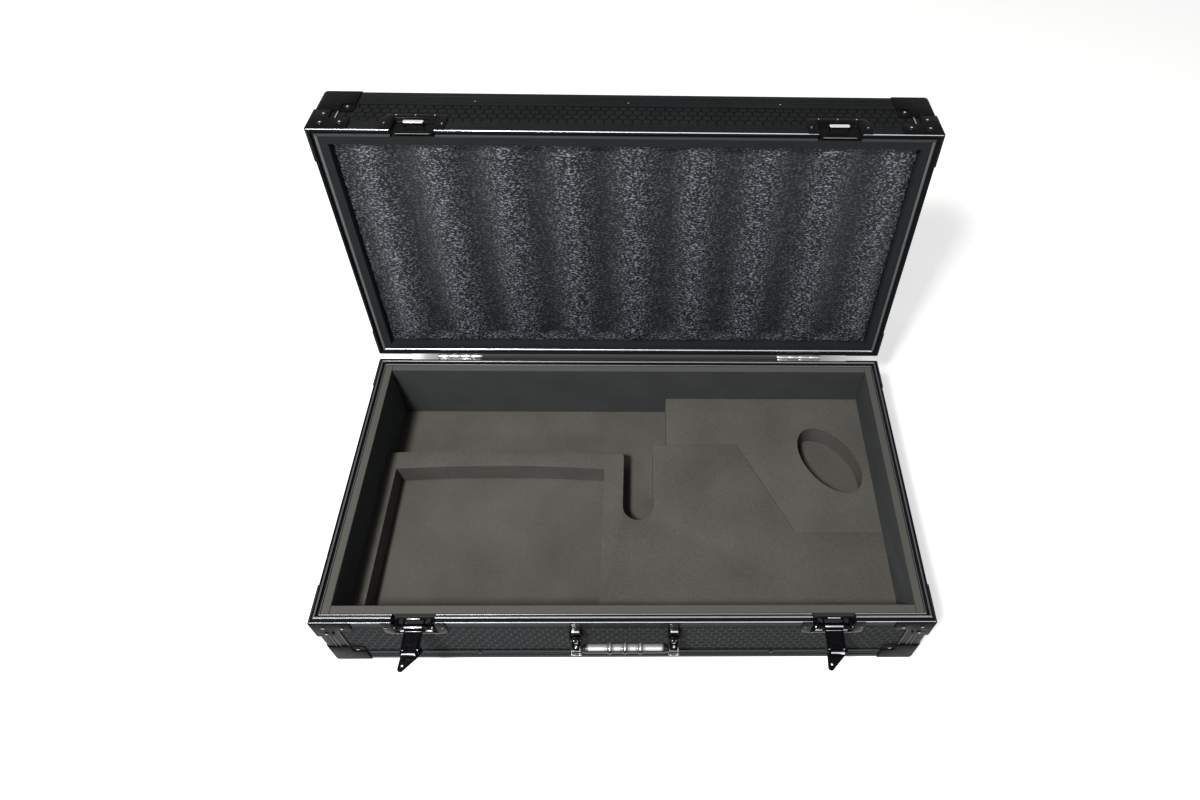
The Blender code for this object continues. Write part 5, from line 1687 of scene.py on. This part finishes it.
def build_claw():
    """The claw's plate, with its slot, seen from the latch's pin."""
    plate = block("claw", (-claw_half, claw_reach - 0.4 * mm, claw_low),
                  (claw_half, claw_start, claw_low + claw_thickness))
    centre = -key_reach - crank_radius * math.cos(math.radians(key_turn))
    cut(plate, block("slot", (-crank_slot[0], centre - crank_slot[1], claw_low - 3 * mm),
                     (crank_slot[0], centre + crank_slot[1], claw_low + 5 * mm)))
    return shade(round_edges(plate, 0.35 * mm, angle=50), 35)


def build_claw_lip():
    """The claw's turned-up lip."""
    lip_piece = block("claw lip", (-claw_half, claw_end, claw_low),
                      (claw_half, claw_reach, claw_low + claw_lip))
    return shade(round_edges(lip_piece, 0.55 * mm, segments=3, angle=50), 35)


claw_pattern = build_claw()
lip_pattern = build_claw_lip()
for name, x in (("left", -latch_x), ("right", latch_x)):
    on_pivot = Matrix.Translation(joints[f"latch_arm_{name}"]["pos_m"])
    turned_key = Matrix.Rotation(math.radians(-key_turn), 4, "Z")
    on_spindle = on_pivot @ Matrix.Translation((0, -key_reach, 0)) @ turned_key
    for pattern, label, body, place, paint, nodes in (
            (arm_pattern, "arm", "arm", on_pivot, latch_steel, [f"latch_arm_{name}"]),
            (arm_heads, "arm_rivets", "arm", on_pivot, bright_zinc, []),
            (key_pattern, "key", "key", on_spindle, latch_steel, [f"latch_key_{name}"]),
            (claw_pattern, "claw", "claw", on_pivot, latch_steel, [f"latch_claw_{name}"]),
            (lip_pattern, "claw_lip", "claw", on_pivot, bright_zinc, [])):
        made = copy_piece(pattern, label, place)
        hand_over(made, f"butterfly_{label}_{name}", f"{body}_{name}", paint, nodes)
    print(name, "latch in place")
for pattern in (arm_pattern, arm_heads, key_pattern, claw_pattern, lip_pattern):
    bpy.data.objects.remove(pattern)

# %% [markdown]
# ## Handle brackets
#
# Two black brackets carry the handle. Each is a plate on the wall and a folded hood with two ears
# that hold the pin. The ears are outlines with a slanted front and a round end, a block with
# rounded edges closes the hood above them, and a bright cap sits on top of it.

# %% Bracket
bracket_x = 71.5 * mm
bracket_half = 9 * mm
bracket_front, bracket_sheet = 7.3 * mm, 2 * mm
bracket_low, bracket_top = -22.8 * mm, 15.2 * mm
bracket_round = 2.2 * mm
plate_rivets = ((-5.2 * mm, -14.5 * mm), (5.2 * mm, -14.5 * mm))
hood_out = -0.2 * mm
ear_reach = 4.5 * mm
handle_pivot = Vector(joints["handle_swing"]["pos_m"])


def build_bracket():
    """A bracket's plate and its hood with the ears, seen from the handle's pin."""
    plate = round_plate("bracket", bracket_half, bracket_low, bracket_top, bracket_round,
                        bracket_sheet, only_low=True)
    plate.matrix_world = Matrix.Translation((0, bracket_front + bracket_sheet, 0))
    shapes = [round_edges(settle(plate), 0.4 * mm, angle=50)]
    back = bracket_front + bracket_sheet / 2
    loop = [(back, bracket_top - 0.4 * mm), (hood_out + 1.2 * mm, bracket_top - 0.4 * mm),
            (hood_out, bracket_top - 1.6 * mm), (-ear_reach, ear_reach)]
    loop += arc((0, 0), ear_reach, 180, 270, 7) + [(back, -ear_reach)]
    for side in (-1, 1):
        piece = outline("ear", [loop], bracket_sheet)
        left = side * (bracket_half - bracket_sheet / 2) - bracket_sheet / 2
        piece.matrix_world = Matrix(((0, 0, 1, left), (1, 0, 0, 0), (0, 1, 0, 0), (0, 0, 0, 1)))
        shapes.append(round_edges(settle(piece), 0.5 * mm, segments=3, angle=50))
        shapes.append(rivet("pin end", (side * bracket_half, 0, 0), "X", side, 2.6 * mm, 0.4 * mm))
    hood = block("hood", (-bracket_half + 0.5 * mm, hood_out + 0.6 * mm, bracket_top - 2 * mm),
                 (bracket_half - 0.5 * mm, back, bracket_top - 0.3 * mm))
    shapes.append(round_edges(hood, 0.5 * mm, segments=3, angle=50))
    for x, z in plate_rivets:
        shapes.append(rivet("plate rivet", (x, bracket_front, z), "Y", -1, 2.2 * mm, 0.9 * mm))
    shapes.append(rod("pin", (0, 0, 0), 2.5 * mm, 2 * bracket_half - bracket_sheet, "X", 24))
    return shade(join("bracket", shapes), 35)


def build_bracket_bright():
    """The bright cap on a bracket's hood."""
    cap_piece = block("hood cap", (-5.6 * mm, hood_out + 1.6 * mm, bracket_top - 1.4 * mm),
                      (5.6 * mm, bracket_front + 1.8 * mm, bracket_top + 0.5 * mm))
    shapes = [round_edges(cap_piece, 0.5 * mm, segments=3, angle=50)]
    return shade(join("bracket bright", shapes), 35)


bracket_pattern = build_bracket()
bright_pattern = build_bracket_bright()
print("bracket", len(bracket_pattern.data.polygons), "faces")

# %% [markdown]
# ## Handle links and grip
#
# A link hangs on each pin: an eye, a stem, and a stirrup that holds the grip's end block. The
# grip is a profile spun round its length, with three finger ridges. The stirrups are bright and
# their insides black, so the end blocks are pieces of their own.

# %% Link
stirrup_half = 7.8 * mm
stirrup_wall = 1.7 * mm
stirrup_depth, stirrup_height = 15 * mm, 17 * mm
grip_drop, grip_out = 22 * mm, 8 * mm
stirrup_round, stirrup_border = 2.2 * mm, 1.9 * mm
eye_radius = 4.2 * mm
groove_half = 1.9 * mm
stem_half, stem_thickness = 3.2 * mm, 3.5 * mm


def build_link():
    """A link seen from its pin: the stem with a groove down its face, and the stirrup."""
    low = -grip_drop - stirrup_height / 2
    high = low + stirrup_height
    back = -grip_out + stirrup_depth / 2
    stem = block("stem", (-stem_half, -eye_radius, high - stirrup_wall / 2),
                 (stem_half, stem_thickness - eye_radius, 0))
    cut(stem, rod("room", (0, 0, 0), 3.6 * mm, 12 * mm, "X", 20))
    cut(stem, block("groove", (-groove_half, -eye_radius - 2 * mm, high),
                    (groove_half, 1.4 * mm - eye_radius, 3 * mm)))
    shapes = [round_edges(stem, 0.3 * mm, angle=50)]
    shapes.append(rivet("knob", (0, back - stirrup_depth + 7 * mm, high), "Z", 1, 2.4 * mm, 1.2 * mm))
    stirrup = block("stirrup", (-stirrup_half, back - stirrup_depth, low), (stirrup_half, back, high))
    pick(stirrup, "EDGE", lambda a, b: abs(a.y - b.y) > weld)
    bpy.ops.mesh.bevel(offset=stirrup_round, segments=4, affect="EDGES")
    leave()
    pick(stirrup, "FACE", lambda middle, normal: normal.y < -0.9)
    bpy.ops.mesh.inset(thickness=stirrup_wall)
    bpy.ops.transform.translate(value=(0, stirrup_depth - stirrup_wall, 0))
    leave()
    pick(stirrup, "FACE", lambda middle, normal: normal.z > 0.9 and middle.z > high - weld)
    bpy.ops.mesh.inset(thickness=stirrup_border)
    bpy.ops.transform.translate(value=(0, 0, -0.8 * mm))
    leave()
    shapes.append(round_edges(stirrup, 0.2 * mm, angle=50))
    return shade(join("link", shapes), 35)


def build_end_block():
    """What is black on a link: the eye, the strip in the stem, and the end block in the stirrup."""
    wall = stirrup_half - stirrup_wall - seat_gap
    low = -grip_drop - stirrup_height / 2 + stirrup_wall + seat_gap
    high = -grip_drop + stirrup_height / 2 - stirrup_wall - seat_gap
    front = -grip_out - stirrup_depth / 2
    body = block("end block", (-wall, front + 1.2 * mm, low),
                 (wall, front + stirrup_depth - stirrup_wall - seat_gap, high))
    shapes = [round_edges(body, 1.6 * mm, segments=3, angle=50)]
    shapes.append(rivet("screw", (0, front + 1.2 * mm, -grip_drop), "Y", -1, 2.6 * mm, 0.9 * mm))
    shapes.append(bored_rod("eye", -4.25 * mm, 4.25 * mm, eye_radius, 2.5 * mm + pin_play))
    top = -grip_drop + stirrup_height / 2
    plate = block("plate", (-5.7 * mm, front + 2.1 * mm, top - 1.1 * mm),
                  (5.7 * mm, front + 12.9 * mm, top - 0.3 * mm))
    shapes.append(round_edges(plate, 0.2 * mm, angle=50))
    strip = block("strip", (-1.8 * mm, 0.5 * mm - eye_radius, low + stirrup_height),
                  (1.8 * mm, 1.3 * mm - eye_radius, -3.6 * mm))
    shapes.append(round_edges(strip, 0.2 * mm, angle=50))
    return shade(join("end block", shapes), 35)


link_pattern = build_link()
end_pattern = build_end_block()
for name, x in (("left", -bracket_x), ("right", bracket_x)):
    place = Matrix.Translation(handle_pivot + Vector((x, 0, 0)))
    for pattern, label, body, paint, nodes, slot in (
            (bracket_pattern, f"bracket_{name}", "tray", coated_steel, [f"handle_bracket_{name}"],
             "coated_steel"),
            (bright_pattern, f"bracket_bright_{name}", "tray", chrome, [], "chrome_plate"),
            (link_pattern, f"link_{name}", "handle", chrome, [f"handle_link_{name}"], "chrome_plate"),
            (end_pattern, f"end_block_{name}", "handle", latch_steel, [], "grip_coating")):
        made = copy_piece(pattern, label, place)
        hand_over(made, f"handle_{label}_dressed", body, paint, nodes)
    print(name, "bracket and link in place")
for pattern in (bracket_pattern, bright_pattern, link_pattern, end_pattern):
    bpy.data.objects.remove(pattern)

# %% Grip
grip_half = bracket_x - stirrup_half - seat_gap
grip_radius, grip_end_radius, grip_end_length = 6.5 * mm, 5.2 * mm, 6 * mm
ridge_radius, ridge_width, ridge_pitch = 8.1 * mm, 4.5 * mm, 22.5 * mm
silver_half = 54 * mm


def grip_profile():
    """The grip's outline from one end to the other, as (along, out)."""
    points = [(-grip_half, grip_end_radius - 0.4 * mm), (-grip_half + 0.4 * mm, grip_end_radius),
              (-grip_half + grip_end_length, grip_radius)]
    for step in range(-68, 69):
        along = step * 0.8 * mm
        near = min(abs(along - place) for place in (-ridge_pitch, 0, ridge_pitch)) / ridge_width
        rise = (ridge_radius - grip_radius) * (1 + math.cos(math.pi * min(1, near))) / 2
        points.append((along, grip_radius + rise))
    points += [(grip_half - grip_end_length, grip_radius),
               (grip_half - 0.4 * mm, grip_end_radius), (grip_half, grip_end_radius - 0.4 * mm)]
    return points


def silver_and_shade(co):
    """How silver the grip is: silver on its upper face only, the black underside a painted dark reflection,
    and painted shade beside its finger ridges.
    """
    middle = min(1, max(0, (silver_half + 1 * mm - abs(co.x)) / (2 * mm)))
    upper = min(1, max(0, (0.94 * co.y + 0.33 * co.z + 3.3 * mm) / (0.8 * mm)))
    upper *= min(1, max(0, co.z / mm + 3))
    # Painted shade: the silver is dulled beside each finger ridge.
    near = min(abs(co.x - place) for place in (-ridge_pitch, 0, ridge_pitch))
    ridge_shade = 1 if near < 1.0 * mm else min(1, 0.10 + max(0, near - 1.8 * mm) / (8 * mm))
    return middle * upper * ridge_shade


def build_grip():
    """The grip, spun from its profile, with a silver upper face on its middle."""
    points = [(-grip_half, 0)] + grip_profile() + [(grip_half, 0)]
    curve = bpy.data.curves.new("grip", "CURVE")
    curve.dimensions = "3D"
    spline = curve.splines.new("POLY")
    spline.points.add(len(points) - 1)
    for point, (along, out) in zip(spline.points, points):
        point.co = (along, 0, out, 1)
    grip = bpy.data.objects.new("grip", curve)
    bpy.context.scene.collection.objects.link(grip)
    take(grip)
    bpy.ops.object.convert(target="MESH")
    grip = bpy.context.object
    pick_all(grip)
    bpy.ops.mesh.spin(steps=40, angle=2 * math.pi, center=(0, 0, 0), axis=(1, 0, 0))
    bpy.ops.mesh.select_all(action="SELECT")
    bpy.ops.mesh.remove_doubles(threshold=weld)
    bpy.ops.mesh.normals_make_consistent(inside=False)
    leave()
    bright = grip.data.attributes.new("silver", "FLOAT", "POINT")
    for vert, value in zip(grip.data.vertices, bright.data):
        value.value = silver_and_shade(vert.co)
    grip.location = handle_pivot + Vector((0, -grip_out, -grip_drop))
    settle(grip)
    return shade(grip, 40)


grip = hand_over(build_grip(), "handle_grip_dressed", "handle", grip_silver, ["handle_grip"])
print(grip.name, len(grip.data.polygons), "faces")
